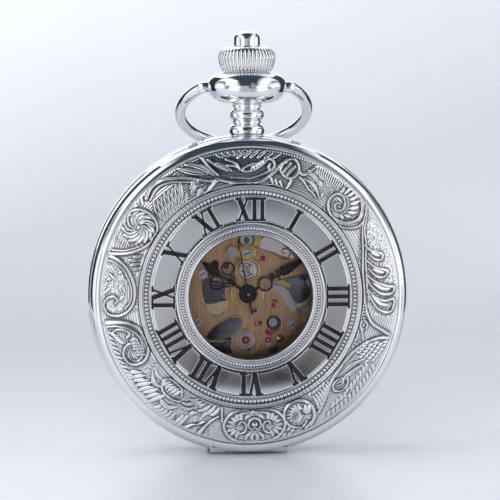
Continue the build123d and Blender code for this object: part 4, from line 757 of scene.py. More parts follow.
def front_cover():
    rows = []            # (radius, depth, tag)
    # rim, from the parting line round to the band
    for r, d in ((22.42, 9.72), (22.8, 9.70), (23.1, 9.70), (23.22, 9.76), (23.28, 9.88)):
        rows.append((r, d, "rim"))
    for p in np.linspace(0, 90, 26):
        rows.append((21.86 + 1.43 * math.cos(rad(p)) ** 0.92, 10.25 + 2.1 * math.sin(rad(p)) ** 0.95 if p else 10.25, "rim"))
    for r, d in ((21.80, 12.33), (21.74, 12.27), (21.68, 12.27), (21.62, 12.32)):
        rows.append((r, d, "rim"))
    band_r = np.linspace(21.58, 16.50, 96)
    for r in band_r:
        rows.append((r, float(band_depth(r)), "band"))
    # grooved frame, bead channel and inner frame
    extra = curve_points([(16.47, 13.72), (16.40, 13.72), (16.33, 13.92), (16.22, 13.97), (16.10, 13.86), (16.0, 13.95),
                          (15.9, 13.96), (15.80, 13.84), (15.66, 13.78), (15.3, 13.74), (14.96, 13.78), (14.86, 13.90),
                          (14.76, 14.02), (14.66, 14.03), (14.56, 13.94), (14.5, 13.90), (14.44, 13.95)], 0.07)
    for r, d in extra:
        rows.append((r, d, "frame"))
    for r in np.linspace(14.38, 11.26, 22):
        rows.append((r, float(ring_depth(r)), "ring"))
    inner = curve_points([(11.22, 14.10), (11.15, 13.98), (11.08, 13.94), (10.98, 14.06), (10.90, 14.20), (10.80, 14.24),
                          (10.70, 14.20), (10.62, 14.08), (10.52, 14.05), (10.44, 14.12), (10.36, 14.16), (10.28, 14.06), (10.02, 14.02),
                          (9.76, 14.06), (9.68, 14.18), (9.60, 14.20), (9.52, 14.10), (9.42, 14.14), (9.32, 14.30),
                          (9.2, 14.32), (9.10, 14.20), (9.03, 14.02), (9.0, 13.85)], 0.07)
    for r, d in inner:
        rows.append((r, d, "inner"))
    for r, d in ((9.0, 13.56), (9.6, 13.55), (10.25, 13.55), (10.25, 13.0), (10.25, 12.3), (10.7, 12.3), (11.1, 12.3),
                 (11.1, 13.2), (13.8, 13.15), (16.6, 13.1), (18.4, 12.75), (20.0, 12.2), (21.3, 11.6), (22.1, 11.05), (22.4, 10.5)):
        rows.append((r, d, "back"))
    R = np.array([x[0] for x in rows])
    D = np.array([x[1] for x in rows])
    tag = np.array([x[2] for x in rows])
    n = len(rows)
    A = np.arange(COLS) * 2 * math.pi / COLS
    H = np.zeros((n, COLS))
    relief_shade_map = np.ones((n, COLS))
    bi = np.where(tag == "band")[0]
    cv = Canvas(R[bi] / PX, COLS)
    ornament(cv)
    # ground: fine lines that follow the band, and stippled fields
    rp = R[bi][:, None] / PX
    deg = np.degrees(A)[None, :]
    wob = 1.2 * np.sin(np.radians(deg * 3 + 20)) + 0.8 * np.sin(np.radians(deg * 7))
    lines = 0.5 + 0.5 * np.cos(2 * math.pi * (rp + wob) / 2.35)
    stip = rng.random((len(bi), COLS))
    k = np.ones(3) / 3
    stip = np.apply_along_axis(lambda m: np.convolve(m, k, "same"), 0, stip)
    stip = (np.roll(stip, 1, 1) + stip + np.roll(stip, -1, 1)) / 3
    stip = np.clip((stip - 0.5) * 6 + 0.5, 0, 1)

    def inside(lo, hi, soft=2.0):
        d = (deg - lo) % 360
        return np.clip(d / soft, 0, 1) * np.clip(((hi - lo) % 360 - d) / soft, 0, 1) * ((d <= (hi - lo) % 360))

    field = np.clip(inside(58, 100) * (rp > 121) + inside(271, 289) * (rp > 124) + inside(232, 238) + inside(262, 271) * 0.6 + inside(194, 206) * (rp > 128), 0, 1)
    ground = 0.055 * (lines * (1 - field) + (stip * 1.1) * field) * (1 - 0.65 * inside(338, 21, 4.0))
    m = np.clip(cv.mask, 0, 1)
    edge = np.clip((148.2 - rp) / 1.2, 0, 1) * np.clip((rp - 110.2) / 1.0, 0, 1)
    h = (cv.h * 1.25 + ground * (1 - m)) * np.clip((146.6 - rp) / 2.0, 0, 1) * np.clip((rp - 111.6) / 1.5, 0, 1)
    # fine beaded line along the band's outer edge
    count = 330
    beadline = np.exp(-((rp - 144.9) / 0.75) ** 2) * (0.35 + 0.65 * (0.5 + 0.5 * np.cos(np.radians(deg) * count)))
    h = np.maximum(h, 0.10 * beadline)
    H[bi] = h
    # painted shade in the crevices and painted light on the raised work: how far each place lies below its
    # neighbourhood, and how high it stands
    soft = h.copy()
    for _ in range(5):
        soft = (np.roll(soft, 3, 1) + np.roll(soft, -3, 1) + 2 * soft + np.vstack([soft[2:], soft[-2:]]) + np.vstack([soft[:2], soft[:-2]])) / 6
    c = np.clip(0.58 + (h - soft) * 8.0 + h * 1.5, 0, 1)
    relief_shade_map[bi] = c
    # painted shade on the frame and inner rings: colour darkens with depth in their grooves
    fi = np.where(tag == "frame")[0]
    relief_shade_map[fi] = np.clip(0.05 + (D[fi] - 13.72) * 3.4, 0, 1)[:, None]
    ii = np.where(tag == "inner")[0]
    relief_shade_map[ii] = np.clip(0.12 + (D[ii] - 14.0) * 4.2, 0, 1)[:, None]
    # light dents and ripples of handwork on the frame rings
    H[fi] += 0.006 * np.cos(A * 168)[None, :]
    r = np.repeat(R[:, None], COLS, 1)
    d = D[:, None] + H
    x, z = r * np.sin(A), r * np.cos(A)
    # flat on the rim above the hinge, so that it can turn
    outer = (tag != "back")[:, None]
    lim = np.where(outer, -22.22, -21.98)
    deep = np.where(outer, -21.86, -21.60)
    near = (np.abs(x) < 5.9) & (d < 11.6)
    z = np.where(near & (z < lim), lim, z)
    z = np.where((np.abs(x) < 3.42) & (d < 10.75) & (z < deep), deep, z)
    v = np.stack([x, -d, z], -1).reshape(-1, 3)
    i, j = np.meshgrid(np.arange(n), np.arange(COLS), indexing="ij")
    i2, j2 = (i + 1) % n, (j + 1) % COLS
    q = np.stack([i * COLS + j, i * COLS + j2, i2 * COLS + j2, i2 * COLS + j], -1).reshape(-1, 4)
    kind = np.where(tag == "band", 1, np.where(tag == "ring", 2, np.where(tag == "frame", 1, np.where(tag == "inner", 1, 0))))
    fm = np.repeat(kind[:, None], COLS, 1).reshape(-1)
    ob = fast_mesh("front_cover_engraved", v, q, [chrome, relief, ring_silver], fm, True, relief_shade_map.reshape(-1))
    return ob


cover = front_cover()
bm_check = cover.data.polygons[100 * COLS]
if Vector(bm_check.normal).y > 0:
    cover.data.flip_normals()
done(cover, "front_lid", ["front_cover"])


def bead_ring(name, count, r, depth, size, material, squash=0.8, seg=(10, 7)):
    """Round beads in a ring, each its own little dome."""
    nu, nv = seg
    u = np.arange(nu) * 2 * math.pi / nu
    w = np.linspace(0, math.pi, nv)
    base = np.array([[math.sin(b) * math.cos(a), math.sin(b) * math.sin(a), math.cos(b)] for b in w for a in u])
    quads = []
    for i in range(nv - 1):
        for j in range(nu):
            quads.append((i * nu + j, (i + 1) * nu + j, (i + 1) * nu + (j + 1) % nu, i * nu + (j + 1) % nu))
    quads = np.array(quads)
    V, Q = [], []
    for k in range(count):
        t = 2 * math.pi * k / count
        c = np.array([r * math.sin(t), -depth, r * math.cos(t)])
        s = size * (1 + 0.05 * math.sin(k * 12.9898))
        b = np.stack([base[:, 0] * s, -base[:, 2] * s * squash, base[:, 1] * s], -1)
        V.append(b + c)
        Q.append(quads + k * len(base))
    ob = fast_mesh(name, np.vstack(V), np.vstack(Q), [material])
    bm = bmesh.new()
    bm.from_mesh(ob.data)
    bmesh.ops.remove_doubles(bm, verts=bm.verts, dist=1e-8)
    bmesh.ops.recalc_face_normals(bm, faces=bm.faces)
    for f in bm.faces:
        f.smooth = True
    bm.to_mesh(ob.data)
    bm.free()
    return ob


done(bead_ring("outer_bead_ring", 168, 15.31, 13.84, 0.25, chrome), "front_lid")
done(bead_ring("inner_bead_ring", 150, 10.02, 14.13, 0.185, chrome, seg=(8, 5)), "front_lid")


# numerals -----------------------------------------------------------------
def glyph(letter, H=23.2):
    """Strokes of a serif numeral as convex quads, centred, with the top at +v."""
    t, b = H / 2, -H / 2
    s = 2.05
    q = []

    def bar(u0, u1, v0, v1):
        q.append([(u0, v0), (u1, v0), (u1, v1), (u0, v1)])

    def slant(u0, v0, u1, v1, w):
        q.append([(u0 - w / 2, v0), (u0 + w / 2, v0), (u1 + w / 2, v1), (u1 - w / 2, v1)])

    if letter == "I":
        bar(-2.0, 2.0, b, t)
        bar(-4.0, 4.0, t - s, t)
        bar(-4.0, 4.0, b, b + s)
        return q, 7.7
    if letter == "V":
        slant(0.35, b, -4.3, t, 4.7)
        slant(0.35, b, 4.6, t, 2.0)
        bar(-8.2, -0.8, t - s, t)
        bar(1.9, 7.6, t - s, t)
        return q, 14.6
    slant(4.3, b, -4.3, t, 4.7)
    slant(-4.5, b, 4.5, t, 1.9)
    bar(-7.9, -1.2, t - s, t)
    bar(1.9, 7.5, t - s, t)
    bar(-7.5, -1.9, b, b + s)
    bar(1.2, 7.9, b, b + s)
    return q, 14.8


def grow(quad, e):
    """A convex quad moved out by e on every side."""
    p = np.array(quad, float)
    c = p.mean(0)
    area = 0.5 * sum(p[i][0] * p[(i + 1) % 4][1] - p[(i + 1) % 4][0] * p[i][1] for i in range(4))
    if area < 0:
        p = p[::-1]
    out = []
    for i in range(4):
        a, b, d = p[i - 1], p[i], p[(i + 1) % 4]
        e1, e2 = (b - a) / np.linalg.norm(b - a), (d - b) / np.linalg.norm(d - b)
        n1, n2 = np.array([e1[1], -e1[0]]), np.array([e2[1], -e2[0]])
        k = max(0.35, 1 + float(n1 @ n2))
        out.append(b + e * (n1 + n2) / k)
    return out


def numerals():
    words = ["XII", "I", "II", "III", "IIII", "V", "VI", "VII", "VIII", "IX", "X", "XI"]
    sets = {"rim": ([], []), "fill": ([], [])}
    for k, word in enumerate(words):
        a0 = 30.0 * k
        parts = [glyph(c) for c in word]
        total = sum(w for _, w in parts)
        u = -total / 2
        for quads, w in parts:
            for quad in quads:
                for which, e, top in (("rim", 0.62, 0.085), ("fill", 0.02, 0.115)):
                    V, F = sets[which]
                    pts = grow([(x + u + w / 2, y) for x, y in quad], e)
                    base = len(V)
                    for lift in (-0.05, top):
                        inset = 0.0 if lift < 0 else 0.0
                        for x, y in pts:
                            px, pz = loc(a0, 86.4, x, y)
                            px, pz = px * PX, pz * PX
                            r = min(max(math.hypot(px, pz), 11.2), 14.42)
                            V.append((px, -(ring_depth(r) + lift), pz))
                    F.append((base + 4, base + 5, base + 6, base + 7))
                    F.append((base + 3, base + 2, base + 1, base))
                    for i in range(4):
                        j = (i + 1) % 4
                        F.append((base + i, base + j, base + 4 + j, base + 4 + i))
            u += w
    for which, material, slot in (("rim", chrome, "polished_case"), ("fill", black, "black_hands")):
        V, F = sets[which]
        ob = poly_mesh("numerals_" + which, V, F, [material])
        outward(ob)
        bev = ob.modifiers.new("edge", "BEVEL")
        bev.width = 0.03 * MM if which == "rim" else 0.02 * MM
        bev.segments = 2
        bev.limit_method = "ANGLE"
        done(ob, "front_lid")


numerals()


# hinge knuckles of the two covers -------------------------------------------
def tube_x(name, x0, x1, depth, z, r, bore, material, segs=40):
    """Knuckle along X with a bore and softened ends."""
    prof = [(bore, x0), (r - 0.06, x0), (r, x0 + 0.06), (r, x1 - 0.06), (r - 0.06, x1), (bore, x1)]
    a = np.arange(segs) * 2 * math.pi / segs
    V = np.array([[x, -depth + rr * math.cos(t), z + rr * math.sin(t)] for rr, x in prof for t in a])
    Q = []
    n = len(prof)
    for i in range(n):
        for j in range(segs):
            i2, j2 = (i + 1) % n, (j + 1) % segs
            Q.append((i * segs + j, i * segs + j2, i2 * segs + j2, i2 * segs + j))
    return sharp_by_angle(outward(fast_mesh(name, V, np.array(Q), [material])), 30)


def web(name, x0, x1, outline, material):
    """Solid between two x planes with the given (depth, z) outline."""
    n = len(outline)
    V = [(x0, -d, z) for d, z in outline] + [(x1, -d, z) for d, z in outline]
    F = [tuple(range(n)), tuple(range(2 * n - 1, n - 1, -1))]
    F += [(i, (i + 1) % n, n + (i + 1) % n, n + i) for i in range(n)]
    return outward(poly_mesh(name, V, F, [material]))


for tag, body, depth, outline in (
    ("front", "front_lid", 9.7, [(9.72, -21.95), (11.8, -21.95), (12.0, -22.3), (11.3, -22.85), (10.3, -22.95), (9.72, -22.8)]),
    ("back", "back_lid", 4.1, [(4.08, -21.95), (2.2, -21.95), (2.0, -22.3), (2.6, -22.75), (3.5, -22.95), (4.08, -22.8)]),
):
    for k, (x0, x1) in enumerate(((-5.70, -3.35), (3.35, 5.70))):
        a = tube_x(f"{tag}_knuckle_{k}", x0, x1, depth, -22.7, 0.75, 0.38, chrome)
        b = web(f"{tag}_web_{k}", x0, x1, outline, chrome)
        m = b.modifiers.new("edge", "BEVEL"); m.width = 0.05 * MM; m.segments = 2
        done(a, body); done(b, body)



# ------------------------------------------------------------------ back cover
def back_cover():
    """Dense turned back cover with a turned border, a scroll band and a plain polished middle."""
    prof = [[(0.02, 0.0), (15.45, 0.0)], [(15.45, 0.0), (15.6, 0.06), (15.7, 0.10), (15.8, 0.06), (15.95, 0.0)],
            [(15.95, 0.0), (16.2, 0.02), (18.5, 0.35), (20.3, 0.85), (21.5, 1.4)],
            [(21.5, 1.4), (21.62, 1.56), (21.72, 1.60), (21.85, 1.56)],
            [(21.85, 1.56), (22.6, 2.08), (23.1, 2.78), (23.3, 3.5), (23.3, 3.9)], [(23.3, 3.9), (23.15, 4.1)],
            [(23.15, 4.1), (22.4, 4.1)], [(22.4, 4.1), (22.4, 3.3)], [(22.4, 3.3), (21.8, 2.5), (20.4, 1.65), (18.3, 1.0), (15.3, 0.65)],
            [(15.3, 0.65), (0.02, 0.65)]]
    runs = []
    for k, run in enumerate(prof):
        c = curve_points(run, 0.16 if k in (2, 4) else 0.35)
        if k in (0, 9):
            c = np.array(run)[[0, -1]] if k == 9 else np.linspace(run[0], run[1], 12)
        runs.append(c if not runs else c[1:])
    pr = np.vstack(runs)
    cols = 900
    A = np.arange(cols) * 2 * math.pi / cols
    n = len(pr)
    r = np.repeat(pr[:, :1], cols, 1)
    d = np.repeat(pr[:, 1:2], cols, 1)
    outer = np.arange(n) < sum(len(x) for x in runs[:5])
    # turned waves on the sloping border
    w = (r > 16.4) & (r < 21.3) & outer[:, None]
    wave = 0.5 + 0.5 * np.cos(A * 72 + 6 * np.sin((r - 16.4) / 4.9 * math.pi))
    env = np.clip((r - 16.4) / 0.4, 0, 1) * np.clip((21.3 - r) / 0.4, 0, 1)
    d = d + np.where(w, 0.07 * wave * env, 0)
    x, z = r * np.sin(A), r * np.cos(A)
    lim = np.where(outer, -22.22, -21.98)[:, None]
    z = np.where((np.abs(x) < 5.9) & (d > 2.25) & (z < lim), lim, z)
    z = np.where((np.abs(x) < 3.42) & (d > 3.1) & (z < -21.86), -21.86, z)
    v = np.stack([x, -d, z], -1).reshape(-1, 3)
    i, j = np.meshgrid(np.arange(n), np.arange(cols), indexing="ij")
    i2, j2 = (i + 1) % n, (j + 1) % cols
    q = np.stack([i * cols + j, i2 * cols + j, i2 * cols + j2, i * cols + j2], -1).reshape(-1, 4)
    ob = fast_mesh("back_cover_turned", v, q, [chrome, relief])
    fm = np.where((r > 16.3) & (r < 21.4) & outer[:, None], 1, 0).reshape(-1)
    ob.data.polygons.foreach_set("material_index", fm.astype(np.int32)[: len(ob.data.polygons)])
    # painted shade that rises and falls with the turned waves on the border
    relief_shade = np.where(w, 0.55 + 0.45 * wave, 1.0)
    a = ob.data.attributes.new("relief_shade", "FLOAT", "POINT")
    if len(ob.data.vertices) == relief_shade.size:
        a.data.foreach_set("value", relief_shade.reshape(-1).astype(np.float32))
    bm = bmesh.new()
    bm.from_mesh(ob.data)
    bmesh.ops.remove_doubles(bm, verts=bm.verts, dist=1e-9)
    bmesh.ops.recalc_face_normals(bm, faces=bm.faces)
    bm.to_mesh(ob.data)
    bm.free()
    return sharp_by_angle(ob, 40)


done(back_cover(), "back_lid", ["back_cover"])

# ------------------------------------------------------------------ pendant, crown, button
def arc3(a, b, c, n=14):
    """Circle through three points, from a to c."""
    (x1, y1), (x2, y2), (x3, y3) = a, b, c
    d = 2 * (x1 * (y2 - y3) + x2 * (y3 - y1) + x3 * (y1 - y2))
    ux = ((x1 * x1 + y1 * y1) * (y2 - y3) + (x2 * x2 + y2 * y2) * (y3 - y1) + (x3 * x3 + y3 * y3) * (y1 - y2)) / d
    uy = ((x1 * x1 + y1 * y1) * (x3 - x2) + (x2 * x2 + y2 * y2) * (x1 - x3) + (x3 * x3 + y3 * y3) * (x2 - x1)) / d
    t1, t2, t3 = (math.atan2(y - uy, x - ux) for x, y in (a, b, c))
    while t3 < t1:
        t3 += 2 * math.pi
    t2m = t2
    while t2m < t1:
        t2m += 2 * math.pi
    if not t1 <= t2m <= t3:
        t3 -= 2 * math.pi
    R = math.hypot(x1 - ux, y1 - uy)
    return [(ux + R * math.cos(t), uy + R * math.sin(t)) for t in np.linspace(t1, t3, n)]


pend = lathe("pendant_turned", [
    [(1.05, 20.9), (1.88, 20.9)], [(1.88, 20.9), (1.88, 23.02)], [(1.88, 23.02), (2.2, 23.08)],
    arc3((2.2, 23.1), (2.62, 24.0), (2.12, 24.9)), [(2.12, 24.9), (2.0, 24.98), (2.0, 25.08), (2.12, 25.16)],
    [(2.12, 25.16), (2.12, 25.4), (2.02, 25.5)], arc3((2.06, 25.5), (2.57, 26.33), (2.08, 27.12)),
    [(2.08, 27.12), (1.96, 27.2), (1.98, 27.35), (2.14, 27.45)], [(2.14, 27.45), (2.14, 27.75), (2.3, 27.95), (2.7, 28.0)],
    [(2.7, 28.0), (3.65, 28.13), (4.55, 28.5), (5.2, 29.0), (5.6, 29.6), (5.82, 30.25), (5.83, 30.8), (5.66, 31.4), (5.3, 31.9), (4.7, 32.34), (4.1, 32.49), (3.75, 32.42), (3.4, 32.2)],
    [(3.4, 32.2), (3.0, 31.3)], [(3.0, 31.3), (1.05, 31.3)], [(1.05, 31.3), (1.05, 20.9)]],
    [chrome], axis="stem", segs=240, step=0.07, sharp=42)
done(pend, "case", ["pendant"])
mouth = lathe("pendant_mouth_ring", [[(3.02, 31.35), (3.35, 32.15)], [(3.35, 32.15), (3.55, 32.36), (3.45, 32.2)], [(3.45, 32.2), (3.1, 31.35)], [(3.1, 31.35), (3.02, 31.35)]], [dark_steel], axis="stem", segs=120)
done(mouth, "case")


def flutes(r, along, a):
    """Rounded ribs round the crown, deepest at its widest."""
    k = np.clip((along - 31.9) / 1.3, 0, 1) * np.clip((36.2 - along) / 0.9, 0, 1) * (r > 2.3)
    t = (a * 38 / (2 * math.pi)) % 1.0
    rib = np.sqrt(np.clip(1 - (2 * t - 1) ** 2, 0, 1))
    return k * 0.24 * (rib - 0.93)


crown = lathe("crown_fluted", [
    [(1.0, 31.62), (2.55, 31.62)], [(2.55, 31.62), (2.95, 31.85), (3.3, 32.3), (3.68, 32.95), (3.98, 33.6), (4.14, 34.2), (4.2, 34.7), (4.1, 35.25), (3.88, 35.68), (3.55, 36.02), (3.2, 36.26)],
    [(3.2, 36.26), (3.0, 36.3), (2.85, 36.24)], [(2.85, 36.24), (2.6, 36.02), (2.35, 36.0), (2.06, 36.02)], [(2.06, 36.02), (2.06, 33.0)],
    [(2.06, 33.0), (1.0, 33.0)], [(1.0, 33.0), (1.0, 31.62)]],
    [chrome], axis="stem", segs=38 * 14, step=0.07, wave=flutes, sharp=60)
done(crown, "crown", ["crown"])

button = lathe("button_domed", [
    [(0.02, 35.2), (1.9, 35.2)], [(1.9, 35.2), (1.95, 35.26)], [(1.95, 35.26), (1.95, 36.25)], [(1.95, 36.25), (1.89, 36.31), (1.89, 36.41), (1.95, 36.47)],
    [(1.95, 36.47), (1.95, 37.5)], [(1.95, 37.5), (1.9, 37.8), (1.74, 38.05), (1.4, 38.34), (1.0, 38.52), (0.5, 38.63), (0.02, 38.65)]],
    [chrome], axis="stem", segs=120, step=0.08, closed=False, sharp=40)
done(button, "button")
rod = lathe("button_rod", [[(0.02, 20.2), (0.34, 20.2), ], [(0.34, 20.2), (0.4, 20.28)], [(0.4, 20.28), (0.4, 35.19)], [(0.4, 35.19), (0.02, 35.19)]], [steel], axis="stem", segs=40, step=3, closed=False)
done(rod, "button", ["push_button"])


# ------------------------------------------------------------------ bow
def tube(name, pts, radii, material, segs=28, closed=False, caps=True):
    """Round tube along points, with its own radius at each."""
    P = np.asarray(pts, float)
    n = len(P)
    T = np.gradient(P, axis=0)
    T /= np.linalg.norm(T, axis=1)[:, None]
    ref = np.array([0.3, 1.0, 0.2])
    N = np.cross(T[0], ref)
    N /= np.linalg.norm(N)
    V = []
    a = np.arange(segs) * 2 * math.pi / segs
    for i in range(n):
        N = N - T[i] * (N @ T[i])
        N /= np.linalg.norm(N)
        B = np.cross(T[i], N)
        V.append(P[i] + radii[i] * (np.cos(a)[:, None] * N + np.sin(a)[:, None] * B))
    V = np.vstack(V)
    i, j = np.meshgrid(np.arange(n if closed else n - 1), np.arange(segs), indexing="ij")
    i2, j2 = (i + 1) % n, (j + 1) % segs
    q = np.stack([i * segs + j, i * segs + j2, i2 * segs + j2, i2 * segs + j], -1).reshape(-1, 4)
    ob = fast_mesh(name, V, q, [material])
    bm = bmesh.new()
    bm.from_mesh(ob.data)
    if caps and not closed:
        bmesh.ops.holes_fill(bm, edges=[e for e in bm.edges if e.is_boundary], sides=0)
    bmesh.ops.recalc_face_normals(bm, faces=bm.faces)
    bm.to_mesh(ob.data)
    bm.free()
    return sharp_by_angle(ob, 45)


def bow():
    """Ring behind the neck whose two ends turn in to the ball. Built in the ring's own plane, then leaned back."""
    phi = rad(57)
    R, c, ex = 9.45, 6.9, 6.05
    # in the plane: u across, w along the ring's direction away from the pivot
    rr = 1.05                                            # bend between the end's straight and the ring
    # the bend's centre is rr beyond the straight line w=0 and touches the ring from inside
    best = None
    for u in np.linspace(ex, ex + 3, 4000):
        if abs(math.hypot(u, rr - c) - (R - rr)) < 0.0015:
            best = u
            break
    u0 = best if best else ex
    pts = [(5.3, 0.0), (5.7, 0.0), (u0 - 0.15, 0.0)] if u0 > 5.9 else [(5.3, 0.0), (u0, 0.0)]
    d = np.array([u0, rr - c])
    end = math.atan2(d[1], d[0])
    # bend from straight down side (-90 deg) round to the ring's tangent point
    th0, th1 = -math.pi / 2, end
    bend = [(u0 + rr * math.cos(t), rr + rr * math.sin(t)) for t in np.linspace(th0, th1, 18)]
    ring = [(R * math.cos(t), c + R * math.sin(t)) for t in np.linspace(end, math.pi / 2, 90)]
    half = pts + bend + ring[1:]
    full = half + [(-u, w) for u, w in half[::-1][1:]]
    out = curve_points(full, 0.22)
    P = [(u, -6.9 + w * math.sin(phi), 30.4 - w * math.cos(phi)) for u, w in out]
    n = len(P)
    radii = np.full(n, 0.82)
    for k, f in ((0, 0.74),):
        radii[k] = radii[n - 1 - k] = f
    return tube("bow_ring", P, radii, chrome, segs=40)


done(bow(), "bow", ["bow"])
# ------------------------------------------------------------------ movement detail and hands
def slab(name, outline, d0, d1, material, bevel=0.03, crown=0.0):
    """Flat plate with the given (x, z) outline between two depths; crown lifts its middle line."""
    o = np.asarray(outline, float)
    if np.allclose(o[0], o[-1]):
        o = o[:-1]
    area2 = sum(o[i][0] * o[(i + 1) % len(o)][1] - o[(i + 1) % len(o)][0] * o[i][1] for i in range(len(o)))
    if area2 < 0:
        o = o[::-1]
    n = len(o)
    V = [(x, -d0, z) for x, z in o] + [(x, -d1, z) for x, z in o]
    F = [tuple(range(n))[::-1], tuple(range(n, 2 * n))] + [(i, (i + 1) % n, n + (i + 1) % n, n + i) for i in range(n)]
    ob = outward(poly_mesh(name, V, F, [material]))
    m = ob.modifiers.new("edge", "BEVEL")
    m.width = bevel * MM
    m.segments = 2
    m.limit_method = "ANGLE"
    m.angle_limit = rad(30)
    return ob


def blob(points, closed=True, step=0.1):
    """Smooth closed outline through points."""
    p = np.asarray(points, float)
    p = np.vstack([p[-1], p, p[0], p[1]])
    out = []
    for i in range(1, len(p) - 2):
        a, b, c, d = p[i - 1], p[i], p[i + 1], p[i + 2]
        n = max(3, int(np.linalg.norm(c - b) / step))
        t = np.linspace(0, 1, n, endpoint=False)[:, None]
        out.append(0.5 * (2 * b + (c - a) * t + (2 * a - 5 * b + 4 * c - d) * t * t + (3 * b - a - 3 * c + d) * t ** 3))
    return np.vstack(out)


def hoop(name, x, z, r0, r1, d0, d1, material, segs=64):
    """Ring with a rounded top."""
    m = (r0 + r1) / 2
    prof = [[(r0, d0), (r1, d0)], [(r1, d0), (r1, d1 - (d1 - d0) * 0.45)], [(r1, d1 - (d1 - d0) * 0.45), (r1 - (r1 - m) * 0.3, d1 - (d1 - d0) * 0.1), (m, d1), (r0 + (m - r0) * 0.3, d1 - (d1 - d0) * 0.1), (r0, d1 - (d1 - d0) * 0.45)],
            [(r0, d1 - (d1 - d0) * 0.45), (r0, d0)]]
    return lathe(name, prof, [material], place=(x, z), segs=segs, step=0.05, sharp=50)


def disc(name, x, z, r, d0, d1, material, segs=56, rings=0, slot=False):
    """Turned disc with a chamfer, and rings cut into its face."""
    prof = [[(0.01, d0), (r, d0)], [(r, d0), (r, d1 - 0.04)], [(r, d1 - 0.04), (r - 0.05, d1)]]
    edge = r - 0.05
    face = []
    if rings:
        for k in range(rings):
            a = edge - (edge - 0.05) * (k + 0.5) / rings
            h = (edge - 0.05) / rings * 0.3
            face += [(a + h, d1), (a + h * 0.4, d1 - 0.035), (a - h * 0.4, d1 - 0.035), (a - h, d1)]
    pts = [(edge, d1)] + face + [(0.01, d1)]
    for i in range(len(pts) - 1):
        if abs(pts[i][0] - pts[i + 1][0]) > 1e-6:
            prof.append([pts[i], pts[i + 1]])
    ob = lathe(name, prof, [material], place=(x, z), segs=segs, step=0.3, closed=False, sharp=25)
    return ob


def screw(name, x, z, r, d0, d1, material, angle):
    a = disc(name, x, z, r, d0, d1, material)
    w, c, s_ = 0.07, math.cos(rad(angle)), math.sin(rad(angle))
    L = r * 0.86
    q = [(x + u * c - v * s_, z + u * s_ + v * c) for u, v in ((-L, -w), (L, -w), (L, w), (-L, w))]
    # the slot is not cut: a dark steel strip laid on the head is painted shade standing in for it
    return [a, slab(name + "_slot_shade", q, d1 - 0.01, d1 + 0.006, dark_steel, 0.004)]


def inside_poly(px, pz, poly):
    inside = np.zeros(px.shape, bool)
    n = len(poly)
    for i in range(n):
        x1, z1 = poly[i]
        x2, z2 = poly[(i + 1) % n]
        cond = ((z1 > pz) != (z2 > pz)) & (px < (x2 - x1) * (pz - z1) / (z2 - z1 + 1e-12) + x1)
        inside ^= cond
    return inside


def snailed(name, outline, centre, pitch, depth, material, cell=0.05, height=0.07, radial=0):
    """Plate cut to an outline, with concentric ridges turned into its face."""
    o = np.asarray(outline)
    xs = np.arange(o[:, 0].min(), o[:, 0].max() + cell, cell)
    zs = np.arange(o[:, 1].min(), o[:, 1].max() + cell, cell)
    X_, Z_ = np.meshgrid(xs, zs, indexing="ij")
    rho = np.hypot(X_ - centre[0], Z_ - centre[1])
    ridge = 0.5 + 0.5 * np.cos(2 * math.pi * rho / pitch)
    if radial:
        ridge = ridge * (0.6 + 0.4 * np.cos(np.arctan2(X_ - centre[0], Z_ - centre[1]) * radial))
    d = depth + height * ridge
    m, n = X_.shape
    cx, cz = (X_[:-1, :-1] + cell / 2), (Z_[:-1, :-1] + cell / 2)
    keep = inside_poly(cx, cz, o)
    i, j = np.where(keep)
    q = np.stack([i * n + j, (i + 1) * n + j, (i + 1) * n + j + 1, i * n + j + 1], -1)
    v = np.stack([X_, -d, Z_], -1).reshape(-1, 3)
    used = np.unique(q)
    remap = -np.ones(len(v), int)
    remap[used] = np.arange(len(used))
    # painted shade: colour darkens in the grooves between the turned ridges and is full on their tops
    ob = fast_mesh(name, v[used], remap[q], [snail_steel], None, True, ridge.reshape(-1)[used] ** 1.5 * 0.75)
    bm = bmesh.new()
    bm.from_mesh(ob.data)
    if bm.faces and sum(f.normal.y for f in bm.faces) > 0:
        bmesh.ops.reverse_faces(bm, faces=bm.faces)
    bm.to_mesh(ob.data)
    bm.free()
    s_ = ob.modifiers.new("body", "SOLIDIFY")
    s_.thickness = 0.04 * MM
    s_.offset = -1
    return ob


def put(obs, body="case"):
    for o in obs if isinstance(obs, (list, tuple)) else [obs]:
        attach(o, body)


def pc(x, y):
    """Layout sheet of the movement to millimetres."""
    return ((x - 397) / 40.6, (410 - y) / 40.6)


def sheet_(*pts):
    return blob([pc(x, y) for x, y in pts])


PF = 7.8                     # plate's front face
# dark snailed wheels and springs seen through the plate's openings
put(snailed("wheel_seen_left", sheet_((132, 322), (200, 330), (262, 350), (258, 400), (240, 452), (190, 468), (150, 472), (130, 420), (124, 370)), pc(196, 300), 0.30, PF + 0.01, dark_steel))
put(slab("strip_seen_left", sheet_((146, 474), (190, 470), (262, 452), (274, 480), (262, 512), (226, 536), (186, 536), (160, 512)), PF, PF + 0.08, rose))
put(snailed("wheel_seen_lower_left", sheet_((344, 556), (368, 574), (362, 606), (318, 656), (262, 684), (190, 690), (156, 672), (172, 636), (222, 596), (290, 560)), pc(196, 700), 0.26, PF + 0.01, dark_steel))
put(snailed("wheel_seen_foot", sheet_((176, 706), (240, 704), (300, 692), (296, 730), (304, 770), (250, 764), (206, 742)), pc(140, 700), 0.24, PF + 0.01, dark_steel))
put(snailed("wheel_seen_right", sheet_((556, 352), (606, 324), (690, 304), (770, 296), (776, 360), (770, 430), (706, 470), (660, 430), (618, 392)), pc(744, 348), 0.30, PF + 0.01, dark_steel))
put(snailed("wheel_seen_right_low", sheet_((700, 512), (760, 498), (766, 540), (744, 580), (716, 552)), pc(640, 460), 0.22, PF + 0.01, dark_steel))
